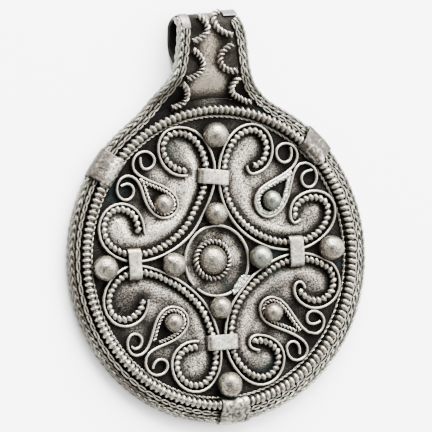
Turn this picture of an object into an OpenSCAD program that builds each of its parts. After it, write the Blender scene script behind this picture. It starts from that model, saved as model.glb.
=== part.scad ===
// Round silver pendant with wire scrolls, granules and a folded strip bail, lying on its back.
// Millimetres. +X to the right, +Y towards the bail, +Z out of the decorated face.
// The origin is the centre of the disc on its flat back.

/* [Disc] */
// radius of the base plate
plate_r = 23.35; // [18:0.05:30]
// thickness of the base plate
plate_t = 1.6; // [1:0.1:3]
// height of the embossed fields over the plate
relief_h = 0.5; // [0.2:0.05:1]
// depth of the dish round the centre boss
dish_depth = 0.5; // [0.2:0.05:0.8]
// radius of the dish at its rim
dish_r = 4.9; // [4:0.1:6]
// room left where pieces are soldered to each other
gap = 0.05; // [0.03:0.01:0.1]

/* [Rim] */
// radius of the large beaded wire's ring
bead_ring_r = 21.75; // [20:0.05:23]
// diameter of the large beaded wire
bead_ring_d = 1.5; // [1:0.05:2]
// radius of the thin wire inside the beads
inner_wire_r = 20.75; // [20:0.05:21]
// diameter of the thin wire inside the beads
inner_wire_d = 0.33; // [0.2:0.01:0.5]
// radius of the braid's centre line round the disc
braid_ring_r = 23.85; // [22:0.05:26]
// width of the braid
braid_w = 0.9; // [0.6:0.05:1.5]
// height of the braid
braid_h = 1.4; // [0.8:0.05:2]
// width of the two thin wires beside the braid
pair_w = 0.8; // [0.5:0.02:1]
// height of the two thin wires beside the braid
pair_h = 0.5; // [0.3:0.02:0.8]

/* [Wires] */
// width of the plain scroll wires
scroll_w = 0.44; // [0.3:0.02:0.7]
// height of the plain scroll wires
scroll_h = 0.78; // [0.4:0.02:1.2]
// diameter of the beaded wires inside the scrolls
beaded_d = 0.95; // [0.6:0.05:1.3]
// width of the plain teardrop wires
drop_w = 0.42; // [0.3:0.02:0.7]
// height of the plain teardrop wires
drop_h = 0.72; // [0.4:0.02:1.2]
// diameter of the twisted wires inside the teardrops
drop_twist_d = 0.36; // [0.2:0.02:0.5]
// distance between a teardrop's two wires
drop_twist_gap = 0.57; // [0.45:0.01:0.8]
// diameter of the two-strand ropes
rope_d = 0.92; // [0.5:0.05:1.2]

/* [Granules and centre] */
// radius of the granules near the rim
outer_ball_r = 1.82; // [1:0.05:2.5]
// radius of the granules round the centre
inner_ball_r = 1.6; // [1:0.02:2]
// radius of the granules in the teardrops
drop_ball_r = 1.32; // [0.8:0.02:1.6]
// height of a granule's centre as a share of its radius
ball_lift = 0.82; // [0.5:0.02:1]
// radius of the boss in the middle
boss_r = 2.2; // [1.5:0.05:3]
// radius of the rope ring round the boss
boss_rope_r = 2.72; // [2:0.02:4]
// radius of the plain ring round the dish
centre_ring_r = 5.2; // [4.5:0.05:6]
// diameter of the plain ring's wire
centre_ring_d = 0.42; // [0.3:0.02:0.6]

/* [Bands and clamps] */
// thickness of the sheet of bands, clamps and caps
strap_t = 0.3; // [0.2:0.05:0.6]
// top of the bands over the disc's back
band_top = 3; // [2.8:0.05:3.6]

/* [Bail] */
// thickness of the bail's sheet
sheet_t = 0.75; // [0.5:0.05:1.2]
// height of the strip's face over the disc's back
strip_top = 3.9; // [3:0.1:6]
// where the strip starts to rise
rise_from = 22.6; // [22:0.1:24]
// where the strip stops rising
rise_to = 27.6; // [25:0.1:30]
// distance of the fold's axis from the disc's centre
fold_y = 34; // [30:0.05:40]

/* [Hidden] */
$fn = 48;
silver = [0.74, 0.73, 0.7];
seat = plate_t + gap;
bead_z = seat + bead_ring_d / 2;
braid_drop = 0.33;
pair_gap = 0.9;
fold_r = strip_top / 2;
neck_turn = 124;
back_from = 28.4;

// Rows of the scroll wires: x, y, heading in degrees, distance to the beaded wire
scroll_ul = [
    [-4.4, 12.3, 180, 0.75], [-7.1, 13, 145, 0.95], [-7.9, 18.7, 42, 0.85], [-5.4, 19.5, 0, 0.9],
    [0.15, 12.5, -93, 1.5], [-3.1, 5.2, -124, 1.45], [-7.9, 1.4, -155, 1.3], [-13.2, 0.25, 180, 1.05],
    [-19.4, 5.3, 88, 0.9], [-17.8, 8.2, 37, 0.75], [-13, 7.7, -48, 0.9], [-12, 4.5, -90, 1]
];
scroll_ur = [
    [5.4, 13.1, -80, 1.2], [6, 12, -30, 1.2], [7.5, 12.1, 17, 1.2], [9.8, 15.6, 90, 1],
    [6.5, 19.2, 180, 0.95], [1.8, 16, -118, 0.95], [1, 8.8, -77, 0.9], [3, 4.7, -53, 1.05],
    [7.2, 1.4, -26, 1.2], [12.5, 0.3, 0, 1.15], [16.5, 1.4, 30, 1.05], [19.5, 5.5, 87, 1.2],
    [18.6, 7.8, 138, 1.1], [13.4, 7.9, -147, 0.85], [12.1, 5.6, -90, 0.8], [12.5, 4.35, -36, 0.8],
    [13.7, 4.7, 48, 0.8]
];
scroll_ll = [
    [-12, -5.4, -92, 0.9], [-13.7, -8.5, -148, 1.2], [-18.1, -8.2, 138, 0.85], [-15.9, -0.7, 23, 1.1],
    [-10, -1.3, -22, 0.85], [-3.4, -5.9, -49, 0.95], [-1.7, -8.7, -70, 1], [-0.7, -14.8, -95, 0.85],
    [-4.7, -19.5, -178, 1], [-8.8, -15.6, 93, 0.9], [-4.2, -12.1, -10, 0.95]
];
scroll_lr = [
    [13.75, -5.5, 95, 0.95], [12.95, -4.5, 180, 0.95], [12, -5.6, -90, 0.95], [12.9, -7.5, -43, 1.2],
    [18.4, -7.5, 42, 1.15], [18.8, -2.6, 125, 0.95], [16.9, -1.3, 152, 0.8], [13.1, -0.3, 178, 0.9],
    [6, -2.6, -147, 1.05], [3.4, -5, -134, 0.8], [1.3, -7.7, -116, 0.95], [1.3, -16.1, -58, 1.05],
    [5.9, -19.2, 0, 1.2], [9.65, -15.5, 87, 0.95], [5.6, -11.85, 178, 0.85], [4.1, -12.9, -95, 0.85],
    [5.7, -14.1, -10, 0.85]
];

// Rows of the teardrop wires: x, y, heading in degrees
drop_ul = [
    [-11.9, 15.5, -100], [-11, 13.7, 0], [-9.6, 14.9, 90], [-11.2, 16.3, 180], [-13.2, 14.4, -90],
    [-12, 12.7, -33], [-6.2, 8.3, -88], [-8.3, 6.35, 180], [-11.2, 8.4, 118], [-13.4, 12.75, 155],
    [-16.05, 11, -90], [-14.6, 9.4, 0], [-13.3, 10.6, 85], [-14.2, 11.75, 175], [-15.35, 11.5, -170]
];
drop_ur = [
    [12.8, 15.4, -70], [11.8, 13.2, 180], [10.4, 14.6, 95], [12, 16, 0], [13.85, 14.2, -90],
    [12.5, 12.1, -143], [6.5, 7.7, -92], [8.6, 5.4, 0], [11.5, 7.4, 57], [15, 12.95, -5],
    [16.85, 10.9, -90], [15.5, 9.3, 180], [14.3, 10.6, 90], [16.1, 11.8, 0]
];
drop_ll = [
    [-15.25, -12.1, -24], [-14.6, -12.5, 0], [-13.4, -11.3, 90], [-14.6, -10.3, 180], [-15.8, -11.7, -93],
    [-14.3, -13.5, 0], [-11, -9, 65], [-8.2, -6.75, 0], [-5.7, -9, -92], [-8.3, -11.7, -157],
    [-13.05, -14.7, -90], [-11.3, -16.6, -5], [-9.45, -15.2, 92], [-10.5, -14.3, 178], [-11.9, -15.6, -100]
];
drop_lr = [
    [15.95, -10.55, -150], [13.8, -10, 92], [15, -8.95, -5], [16.6, -10.6, -93], [15, -12.3, 180],
    [8.5, -6.45, 172], [6.2, -8.2, -90], [11.9, -12.4, -33], [13.6, -14.5, -92], [11.8, -16, 180],
    [10.2, -14.2, 90], [11.3, -13.2, 0], [12.25, -15.1, -105]
];

// Rows of the embossed ridge in each scroll: x, y, heading in degrees, half width
field_ul = [
    [-5.4, 17.1, -60, 0.5], [-4.7, 15.8, -65, 1.8], [-3.35, 12.4, -88, 0.6], [-3.5, 10.3, -115, 0.8],
    [-5.5, 6.9, -125, 0.75], [-9.2, 4.2, -160, 1.2], [-13, 3.35, 175, 0.8], [-15.7, 4.9, 110, 1.7],
    [-16, 6.1, 100, 0.5]
];
field_ur = [
    [6.5, 17, -115, 0.5], [5.8, 15.8, -118, 1.7], [3.75, 12.2, -100, 1], [3.8, 9.2, -78, 1.2],
    [5.2, 6.4, -55, 1], [8.4, 4, -20, 0.95], [12.4, 3.3, 5, 0.7], [15.7, 4.8, 50, 1.6],
    [16.5, 6, 60, 0.5]
];
field_ll = [
    [-16.4, -6, 60, 0.5], [-15.8, -4.9, 50, 1.6], [-12.6, -3.6, -5, 0.9], [-10.3, -3.9, -28, 1],
    [-7.8, -5.1, -38, 0.85], [-5.15, -7.3, -52, 0.55], [-4, -9.6, -78, 0.9], [-3.5, -12.3, -90, 0.4],
    [-4.7, -15.5, -115, 1.7], [-5.2, -16.7, -115, 0.5]
];
field_lr = [
    [16.8, -5.8, 115, 0.5], [16.2, -4.7, 130, 1.6], [13, -3.25, 175, 0.8], [10.1, -3.3, -170, 0.9],
    [7.4, -4.7, -140, 0.85], [5.05, -6.7, -125, 0.85], [3.6, -9, -108, 1], [3.05, -12.7, -85, 0.6],
    [4.8, -15.9, -45, 1.25], [6.9, -16.1, 15, 1], [7.5, -15.8, 30, 0.4]
];

// Rows of the braid up the two sides of the neck: x, y, heading in degrees
neck_left = [[-4.65, 34.1, -93], [-5.25, 29.8, -101], [-6.45, 26.65, -120], [-9.6, 22.75, -134]];
neck_right = [[8.95, 22.75, 134], [6.26, 25.77, 118], [5.55, 28.4, 93], [5.35, 31.8, 94], [4.4, 35, 112]];

// Rows of the rope arcs on the neck: x, y, heading in degrees
rope_l1 = [[-1.4, 35.7, -45], [-0.45, 33.8, -90], [-3.2, 31.9, -165]];
rope_l2 = [[-3.4, 30.8, -40], [-1.85, 28.5, -90], [-4.5, 26.5, -170]];
rope_l3 = [[-5.2, 25.9, -35], [-3.95, 23.9, -90], [-6.3, 22.35, -170]];
rope_r1 = [[1.7, 36, 180], [0.4, 34.9, -90], [3.2, 32.45, -15]];
rope_r2 = [[3.2, 31.2, -155], [0.98, 29, -90], [3.7, 27.25, 10]];
rope_r3 = [[4.1, 26.3, -140], [3.15, 24.8, -92], [5.2, 22.9, -32], [6.8, 22.4, 0]];

// Granules: x, y
outer_balls = [[0.55, 18], [-18.8, -0.2], [18.5, 0.02], [0.4, -18.65]];
inner_balls = [[-0.1, 6.65], [-7.5, -0.55], [6.7, -0.2], [-0.41, -7.3]];
drop_balls = [[-8.4, 8.4], [9, 7.8], [-8.1, -9.1], [8.2, -8.4]];
boss_at = [-0.85, -0.35];
ring_at = [-0.3, -0.5];

// Bands: x, y, turn in degrees, reach to each side across the wires, width along the wires
band_top_row = [-0.15, 11.85, -8, 2.5, 2.5, 2.15];
band_left_row = [-14.05, -0.1, 90, 2.35, 2.35, 2.05];
band_right_row = [12.55, 0.05, 90, 2.3, 2.3, 2.25];
band_bottom_row = [-0.4, -12.5, 0, 2.5, 2.6, 2.2];

// Clamps over the rim: first and last angle round the disc
clamp_ul_row = [135.5, 147];
clamp_ur_row = [37, 48];
clamp_bottom_row = [-93.5, -82];

// Caps over the braid's ends: lowest x, width, first and last angle round the fold
cap_left_row = [-4.95, 1.65, 10, 84];
cap_right_row = [2.4, 2.25, 10, 50];

// Corners of the solder patch between the centre ring and the lower right scroll
patch_corners = [[1.7, -5.05], [3.4, -2.9], [5.05, -2.95], [2.35, -5.6], [1.9, -5.7]];

// Directions in the plane, from a heading in degrees
function ahead(a) = [cos(a), sin(a)];
function leftward(a) = [-sin(a), cos(a)];
function flat(p) = [p[0], p[1]];
function turn(a, b) = let (d = (b - a) % 360) d > 180 ? d - 360 : d < -180 ? d + 360 : d;
function unit(v) = v / norm(v);

// The smooth curve between two rows: its reach from each row, its place and its direction at t
function reach(p, q) = norm(flat(q) - flat(p)) / (3 * pow(cos(turn(p[2], q[2]) / 4), 2));
function place(p, q, t) =
    let (h = reach(p, q), b = flat(p) + h * ahead(p[2]), c = flat(q) - h * ahead(q[2]), s = 1 - t)
    s * s * s * flat(p) + 3 * s * s * t * b + 3 * s * t * t * c + t * t * t * flat(q);
function slope(p, q, t) =
    let (h = reach(p, q), b = flat(p) + h * ahead(p[2]), c = flat(q) - h * ahead(q[2]), s = 1 - t)
    unit(s * s * (b - flat(p)) + 2 * s * t * (c - b) + t * t * (flat(q) - c));

// Points of a curve through rows, moved to its left by side times the row's fourth value plus shift,
// from row number first to row number last
function curve(rows, side = 0, shift = 0, step = 14, first = 0, last = undef) =
    let (end = is_undef(last) ? len(rows) - 1 : last)
    [for (i = [first : end])
        let (p = rows[i], q = rows[min(i + 1, len(rows) - 1)],
             steps = i == end ? 1 : max(1, ceil(max(abs(turn(p[2], q[2])) / step, norm(flat(q) - flat(p)) / 4))))
        for (k = [0 : steps - 1])
            let (t = k / steps, d = i == end ? ahead(p[2]) : slope(p, q, t),
                 at = i == end ? flat(p) : place(p, q, t),
                 off = (side == 0 ? 0 : side * (p[3] * (1 - t) + q[3] * t)) + shift)
            [at[0] - d[1] * off, at[1] + d[0] * off]];

// Height of the plate's and the strip's face at y, and its direction upwards
function ease(t) = t <= 0 ? 0 : t >= 1 ? 1 : t * t * (3 - 2 * t);
function face(y) = y > fold_y
    ? fold_r + sqrt(max(0.01, fold_r * fold_r - pow(y - fold_y, 2)))
    : plate_t + (strip_top - plate_t) * ease((y - rise_from) / (rise_to - rise_from));
function upward(y) = y > fold_y
    ? unit([0, y - fold_y, sqrt(max(0.01, pow(fold_r + rope_d / 2, 2) - pow(y - fold_y, 2)))])
    : unit([0, -(face(y + 0.01) - face(y - 0.01)) / 0.02, 1]);
function on_face(p, lift) = p[1] > fold_y
    ? [p[0], p[1], fold_r + sqrt(max(0.01, pow(fold_r + lift, 2) - pow(p[1] - fold_y, 2)))]
    : [p[0], p[1], face(p[1]) + lift / upward(p[1])[2]];

// Closed loop of a sheet of thickness t that follows the rows of its middle
function normal_at(rows, i) =
    let (d = unit(rows[min(i + 1, len(rows) - 1)] - rows[max(i - 1, 0)])) [-d[1], d[0]];
function sheet_loop(rows, t) = concat(
    [for (i = [0 : len(rows) - 1]) rows[i] + normal_at(rows, i) * t / 2],
    [for (i = [len(rows) - 1 : -1 : 0]) rows[i] - normal_at(rows, i) * t / 2]);

// Sections of wires: across, up
function oval(w, h) = [[0, -h / 2], [w / 2, -h / 4], [w / 2, h / 4], [0, h / 2], [-w / 2, h / 4], [-w / 2, -h / 4]];
function round_wire(d, sides = 6) = [for (i = [0 : sides - 1]) d / 2 * [sin(360 * i / sides), -cos(360 * i / sides)]];
function braid_section(w, h) = [
    [-w / 2, -h * 0.42], [w * 0.1, -h * 0.42], [w / 2, -h * 0.1], [w / 2, h * 0.34], [w * 0.2, h / 2], [-w / 2, h * 0.42]];
function ridge_section() = [[-1, -0.8], [1, -0.8], [0.8, 0.55], [0.3, 1], [-0.3, 1], [-0.8, 0.55]];

// A section swept along points in space, each with its own upward direction and scale
module sweep(points, ups, section, scales = []) {
    n = len(points);
    m = len(section);
    corners = [for (i = [0 : n - 1])
        let (d = unit(points[min(i + 1, n - 1)] - points[max(i - 1, 0)]),
             across = unit(cross(d, ups[i])), up = cross(across, d),
             s = len(scales) == 0 ? [1, 1] : scales[i])
        for (c = section) points[i] + across * c[0] * s[0] + up * c[1] * s[1]];
    sides = [for (i = [0 : n - 2], j = [0 : m - 1], half = [0, 1])
        let (a = i * m + j, b = i * m + (j + 1) % m)
        half == 0 ? [a, b, b + m] : [a, b + m, a + m]];
    polyhedron(corners, concat(sides, [[for (j = [m - 1 : -1 : 0]) j]],
        [[for (j = [0 : m - 1]) (n - 1) * m + j]]), convexity = 8);
}

// A wire that lies at one height on the plate
module flat_wire(points, z, section) {
    color(silver) sweep([for (p = points) [p[0], p[1], z]], [for (p = points) [0, 0, 1]], section);
}

// A wire that follows the strip's face
module neck_wire(points, lift, section) {
    color(silver) sweep([for (p = points) on_face(p, lift)], [for (p = points) upward(p[1])], section);
}

// The rim's path: up the left side of the neck, round the disc and up the right side
function rim_rows() = concat(neck_left,
    [for (k = [0 : 10]) let (a = neck_turn + k * (420 - neck_turn) / 10)
        [braid_ring_r * cos(a), braid_ring_r * sin(a), a + 90]], neck_right);
function neck_points(points) = [for (p = points) if (p[1] > 0 && norm(p) > plate_r + 0.3) p];

module ball(at, r) {
    z = seat + ball_lift * r;
    color(silver) intersection() {
        translate([at[0], at[1], z]) sphere(r);
        translate([at[0] - 2 * r, at[1] - 2 * r, seat]) cube([4 * r, 4 * r, 4 * r]);
    }
}

module wire_ring(at, z, ring_r, d) {
    color(silver) translate([at[0], at[1], z]) rotate_extrude($fn = 96) translate([ring_r, 0]) circle(d / 2, $fn = 24);
}

module field(rows) {
    points = curve(rows, step = 22);
    half =[for (i = [0 : len(rows) - 2])
        let (p = rows[i], q = rows[i + 1],
             steps = max(1, ceil(max(abs(turn(p[2], q[2])) / 22, norm(flat(q) - flat(p)) / 4))))
        for (k = [0 : steps - 1]) p[3] + (q[3] - p[3]) * ease(k / steps)];
    all_half = concat(half, [rows[len(rows) - 1][3]]);
    sweep([for (p = points) [p[0], p[1], plate_t]], [for (p = points) [0, 0, 1]], ridge_section(),
        [for (h = all_half) [h, relief_h * min(1, h / 0.8)]]);
}

module base_plate() {
    color(silver) difference() {
        union() {
            cylinder(h = plate_t, r = plate_r, $fn = 144);
            for (rows = [field_ul, field_ur, field_ll, field_lr]) field(rows);
        }
        translate([ring_at[0], ring_at[1], plate_t - dish_depth])
            cylinder(h = dish_depth + 1, r1 = dish_r - 1, r2 = dish_r + 1, $fn = 96);
    }
}

// Side view of the bail's sheet: y, z. The outer loop, then the eye
function front_edge(back) = [for (k = [0 : 14])
    let (y = 20 + (fold_y - 20) * (k < 2 ? k * 0.09 : 0.18 + (k - 2) * 0.82 / 12), u = upward(y))
    back ? [y - u[1] * sheet_t, face(y) - u[2] * sheet_t] : [y, face(y)]];
function fold_arc(r) = [for (a = [75 : -15 : -75]) [fold_y + r * cos(a), fold_r + r * sin(a)]];
function strip_outer() = concat(front_edge(false), fold_arc(fold_r), [
    [fold_y, 0], [31, 0], [30.2, 0.22], [29.3, 0.9], [28.5, 1.85], [27.9, strip_top - sheet_t]],
    [for (p = [for (i = [14 : -1 : 0]) front_edge(true)[i]]) if (p[0] < 27.6) p]);
function strip_eye() = concat([[28.95, strip_top - sheet_t]], [[fold_y, strip_top - sheet_t]],
    fold_arc(fold_r - sheet_t), [[fold_y, sheet_t], [31.2, sheet_t], [30.6, 0.95], [29.9, 1.5], [29.35, 2.2]]);

module bail_strip() {
    edge = braid_w / 2 + gap;
    left_edge = neck_points(curve(concat(neck_left, [rim_rows()[4]]), 0, edge, 8));
    right_edge = neck_points(curve(concat([rim_rows()[14]], neck_right), 0, edge, 8));
    back_edge = [for (rows = [neck_left, neck_right], p = curve(rows, 0, -braid_w / 2, 8)) if (p[1] > back_from) p];
    outer = strip_outer();
    eye = strip_eye();
    color(silver) difference() {
        intersection() {
            union() {
                linear_extrude(height = 10)
                    polygon(concat([[-3.4, 36.5], [-4.1, 35.3]], left_edge, right_edge, [[3.3, 36.5]]));
                linear_extrude(height = strip_top - braid_drop - braid_h * 0.42 - gap)
                    polygon(concat([[-4, 36.5], [-4.8, 35.3]], back_edge, [[3.9, 36.5]]));
            }
            rotate([90, 0, 90]) linear_extrude(height = 40, center = true)
                polygon(concat(outer, eye), paths = [
                    [for (i = [0 : len(outer) - 1]) i], [for (i = [0 : len(eye) - 1]) len(outer) + i]]);
        }
        translate([0, 0, -1]) cylinder(h = 10, r = plate_r + gap, $fn = 144);
    }
}

module rim_braid() {
    neck_wire(curve(rim_rows(), 0, 0, 7), -braid_drop, braid_section(braid_w, braid_h));
}
module rim_twisted_pair() {
    neck_wire(curve(rim_rows(), 0, pair_gap, 7), gap + pair_h / 2, oval(pair_w, pair_h));
}
module rim_beaded_wire() wire_ring([0, 0], bead_z, bead_ring_r, bead_ring_d);
module rim_inner_wire() wire_ring([0, 0], seat + inner_wire_d / 2, inner_wire_r, inner_wire_d);

module scroll(rows) flat_wire(curve(rows), seat + scroll_h / 2, oval(scroll_w, scroll_h));
module beaded(rows, side, first, last) {
    flat_wire(curve(rows, side, 0, 14, first, last), seat + beaded_d / 2, round_wire(beaded_d));
}
module teardrop(rows) flat_wire(curve(rows, step = 18), seat + drop_h / 2, oval(drop_w, drop_h));
module teardrop_twist(rows, side, first, last) {
    flat_wire(curve(rows, 0, side * drop_twist_gap, 16, first, last), seat + 0.12 + drop_twist_d / 2,
        round_wire(drop_twist_d, 5));
}

module scroll_upper_left() scroll(scroll_ul);
module scroll_upper_right() scroll(scroll_ur);
module scroll_lower_left() scroll(scroll_ll);
module scroll_lower_right() scroll(scroll_lr);
module beaded_upper_left() beaded(scroll_ul, -1, 0, 11);
module beaded_upper_right() beaded(scroll_ur, 1, 1, 15);
module beaded_lower_left() beaded(scroll_ll, -1, 0, 10);
module beaded_lower_right() beaded(scroll_lr, 1, 2, 15);
module teardrop_upper_left() teardrop(drop_ul);
module teardrop_upper_right() teardrop(drop_ur);
module teardrop_lower_left() teardrop(drop_ll);
module teardrop_lower_right() teardrop(drop_lr);
module teardrop_twist_upper_left() teardrop_twist(drop_ul, -1, 5, 8);
module teardrop_twist_upper_right() teardrop_twist(drop_ur, 1, 5, 8);
module teardrop_twist_lower_left() teardrop_twist(drop_ll, -1, 6, 9);
module teardrop_twist_lower_right() teardrop_twist(drop_lr, 1, 5, 7);

module granule_top() ball(outer_balls[0], outer_ball_r);
module granule_left() ball(outer_balls[1], outer_ball_r);
module granule_right() ball(outer_balls[2], outer_ball_r);
module granule_bottom() ball(outer_balls[3], outer_ball_r);
module granule_inner_top() ball(inner_balls[0], inner_ball_r);
module granule_inner_left() ball(inner_balls[1], inner_ball_r);
module granule_inner_right() ball(inner_balls[2], inner_ball_r);
module granule_inner_bottom() ball(inner_balls[3], inner_ball_r);
module granule_drop_upper_left() ball(drop_balls[0], drop_ball_r);
module granule_drop_upper_right() ball(drop_balls[1], drop_ball_r);
module granule_drop_lower_left() ball(drop_balls[2], drop_ball_r);
module granule_drop_lower_right() ball(drop_balls[3], drop_ball_r);

module centre_boss() {
    floor_z = seat - dish_depth;
    color(silver) intersection() {
        translate([boss_at[0], boss_at[1], floor_z + 0.3]) sphere(boss_r);
        translate([boss_at[0] - 5, boss_at[1] - 5, floor_z]) cube(10);
    }
}
module centre_rope_ring() wire_ring(boss_at, seat - dish_depth + rope_d / 2, boss_rope_r, rope_d);
module centre_ring() wire_ring(ring_at, seat + centre_ring_d / 2, centre_ring_r, centre_ring_d);
module solder_patch() {
    color(silver) translate([0, 0, seat + centre_ring_d + gap]) linear_extrude(height = 0.3) polygon(patch_corners);
}

module band(row) {
    middle = band_top - strap_t / 2;
    low = row[3] - strap_t / 2;
    high = row[4] - strap_t / 2;
    rows = [[-low, seat], [-low, middle - 0.3], [-low + 0.3, middle], [high - 0.3, middle],
        [high, middle - 0.3], [high, seat]];
    color(silver) translate([row[0], row[1], 0]) rotate([0, 0, row[2]]) rotate([90, 0, 0])
        linear_extrude(height = row[5], center = true) polygon(sheet_loop(rows, strap_t));
}
module band_top() band(band_top_row);
module band_left() band(band_left_row);
module band_right() band(band_right_row);
module band_bottom() band(band_bottom_row);

module rim_clamp(row) {
    bend_r = bead_ring_d / 2 + gap + strap_t / 2;
    outside = braid_ring_r + braid_w / 2 + gap + strap_t / 2;
    rows = concat([for (a = [190 : -20 : 30]) [bead_ring_r + bend_r * cos(a), bead_z + bend_r * sin(a)]],
        [[23.2, 2.5], [outside - 0.45, 2.3], [outside - 0.12, 2.1], [outside, 1.7], [outside, 0.5]]);
    color(silver) rotate([0, 0, row[0]]) rotate_extrude(angle = row[1] - row[0], $fn = 144)
        polygon(sheet_loop(rows, strap_t));
}
module rim_clamp_upper_left() rim_clamp(clamp_ul_row);
module rim_clamp_upper_right() rim_clamp(clamp_ur_row);
module rim_clamp_bottom() rim_clamp(clamp_bottom_row);

module bail_cap(row) {
    color(silver) translate([row[0], fold_y, fold_r]) rotate([90, 0, 90]) rotate([0, 0, row[2]])
        rotate_extrude(angle = row[3] - row[2], $fn = 72)
            translate([fold_r + gap, 0]) square([strap_t, row[1]]);
}
module bail_cap_left() bail_cap(cap_left_row);
module bail_cap_right() bail_cap(cap_right_row);

module neck_rope(rows) neck_wire(curve(rows, step = 18), gap + rope_d / 2, round_wire(rope_d, 6));
module neck_rope_left_upper() neck_rope(rope_l1);
module neck_rope_left_middle() neck_rope(rope_l2);
module neck_rope_left_lower() neck_rope(rope_l3);
module neck_rope_right_upper() neck_rope(rope_r1);
module neck_rope_right_middle() neck_rope(rope_r2);
module neck_rope_right_lower() neck_rope(rope_r3);

base_plate();
bail_strip();
rim_braid();
rim_twisted_pair();
rim_beaded_wire();
rim_inner_wire();
scroll_upper_left();
scroll_upper_right();
scroll_lower_left();
scroll_lower_right();
beaded_upper_left();
beaded_upper_right();
beaded_lower_left();
beaded_lower_right();
teardrop_upper_left();
teardrop_upper_right();
teardrop_lower_left();
teardrop_lower_right();
teardrop_twist_upper_left();
teardrop_twist_upper_right();
teardrop_twist_lower_left();
teardrop_twist_lower_right();
granule_top();
granule_left();
granule_right();
granule_bottom();
granule_inner_top();
granule_inner_left();
granule_inner_right();
granule_inner_bottom();
granule_drop_upper_left();
granule_drop_upper_right();
granule_drop_lower_left();
granule_drop_lower_right();
centre_boss();
centre_rope_ring();
centre_ring();
solder_patch();
band_top();
band_left();
band_right();
band_bottom();
rim_clamp_upper_left();
rim_clamp_upper_right();
rim_clamp_bottom();
bail_cap_left();
bail_cap_right();
neck_rope_left_upper();
neck_rope_left_middle();
neck_rope_left_lower();
neck_rope_right_upper();
neck_rope_right_middle();
neck_rope_right_lower();
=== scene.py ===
import math
import random

import bpy
from bpy.props import FloatProperty, FloatVectorProperty, IntProperty, PointerProperty
from mathutils import Matrix, Vector


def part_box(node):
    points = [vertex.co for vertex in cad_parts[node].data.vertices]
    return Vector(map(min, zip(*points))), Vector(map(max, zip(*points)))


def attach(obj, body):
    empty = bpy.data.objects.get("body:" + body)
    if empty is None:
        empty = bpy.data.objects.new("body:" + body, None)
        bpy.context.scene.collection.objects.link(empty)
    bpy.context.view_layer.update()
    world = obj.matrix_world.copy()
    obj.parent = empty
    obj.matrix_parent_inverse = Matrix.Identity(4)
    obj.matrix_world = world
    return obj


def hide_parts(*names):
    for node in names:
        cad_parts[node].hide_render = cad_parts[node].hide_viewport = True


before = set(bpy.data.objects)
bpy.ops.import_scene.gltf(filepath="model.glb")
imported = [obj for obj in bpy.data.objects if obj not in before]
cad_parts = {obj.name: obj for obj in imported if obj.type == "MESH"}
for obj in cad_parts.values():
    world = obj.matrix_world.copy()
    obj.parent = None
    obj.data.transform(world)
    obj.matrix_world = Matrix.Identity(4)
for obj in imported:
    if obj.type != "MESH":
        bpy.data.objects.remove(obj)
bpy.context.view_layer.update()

bl_info = {
    "name": "Filigree pendant",
    "version": (1, 0, 0),
    "blender": (4, 5, 0),
    "location": "3D View > Sidebar > Pendant",
    "description": "Dresses a round silver pendant with wires, beads, granules and a folded strip bail",
    "category": "Object",
}

MM = 0.001

# Scroll wires, in millimetres: x, y, heading in degrees, distance to the beaded wire
SCROLLS = {
    "upper_left": [
        (-4.4, 12.3, 180, 0.75), (-7.1, 13, 145, 0.95), (-7.9, 18.7, 42, 0.85), (-5.4, 19.5, 0, 0.9),
        (0.15, 12.5, -93, 1.5), (-3.1, 5.2, -124, 1.45), (-7.9, 1.4, -155, 1.3), (-13.2, 0.25, 180, 1.05),
        (-19.4, 5.3, 88, 0.9), (-17.8, 8.2, 37, 0.75), (-13, 7.7, -48, 0.9), (-12, 4.5, -90, 1)],
    "upper_right": [
        (5.4, 13.1, -80, 1.2), (6, 12, -30, 1.2), (7.5, 12.1, 17, 1.2), (9.8, 15.6, 90, 1),
        (6.5, 19.2, 180, 0.95), (1.8, 16, -118, 0.95), (1, 8.8, -77, 0.9), (3, 4.7, -53, 1.05),
        (7.2, 1.4, -26, 1.2), (12.5, 0.3, 0, 1.15), (16.5, 1.4, 30, 1.05), (19.5, 5.5, 87, 1.2),
        (18.6, 7.8, 138, 1.1), (13.4, 7.9, -147, 0.85), (12.1, 5.6, -90, 0.8), (12.5, 4.35, -36, 0.8),
        (13.7, 4.7, 48, 0.8)],
    "lower_left": [
        (-12, -5.4, -92, 0.9), (-13.7, -8.5, -148, 1.2), (-18.1, -8.2, 138, 0.85), (-15.9, -0.7, 23, 1.1),
        (-10, -1.3, -22, 0.85), (-3.4, -5.9, -49, 0.95), (-1.7, -8.7, -70, 1), (-0.7, -14.8, -95, 0.85),
        (-4.7, -19.5, -178, 1), (-8.8, -15.6, 93, 0.9), (-4.2, -12.1, -10, 0.95)],
    "lower_right": [
        (13.75, -5.5, 95, 0.95), (12.95, -4.5, 180, 0.95), (12, -5.6, -90, 0.95), (12.9, -7.5, -43, 1.2),
        (18.4, -7.5, 42, 1.15), (18.8, -2.6, 125, 0.95), (16.9, -1.3, 152, 0.8), (13.1, -0.3, 178, 0.9),
        (6, -2.6, -147, 1.05), (3.4, -5, -134, 0.8), (1.3, -7.7, -116, 0.95), (1.3, -16.1, -58, 1.05),
        (5.9, -19.2, 0, 1.2), (9.65, -15.5, 87, 0.95), (5.6, -11.85, 178, 0.85), (4.1, -12.9, -95, 0.85),
        (5.7, -14.1, -10, 0.85)],
}
# Beaded wires inside the scrolls: side of the scroll, first row, last row
BEADED = {"upper_left": (-1, 0, 11), "upper_right": (1, 1, 15), "lower_left": (-1, 0, 10),
          "lower_right": (1, 2, 15)}

# Outline of one bead inside the scrolls, as shares of its width
BEAD = (0.48, 0.62, 0.94, 1, 0.97, 0.76, 0.48)
# How much wider than high those beads are, their slant, and how far they lie nearer to the scroll
BEAD_SPREAD, BEAD_SLANT, BEAD_NEARER = 1.13, 16, 0.04

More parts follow.
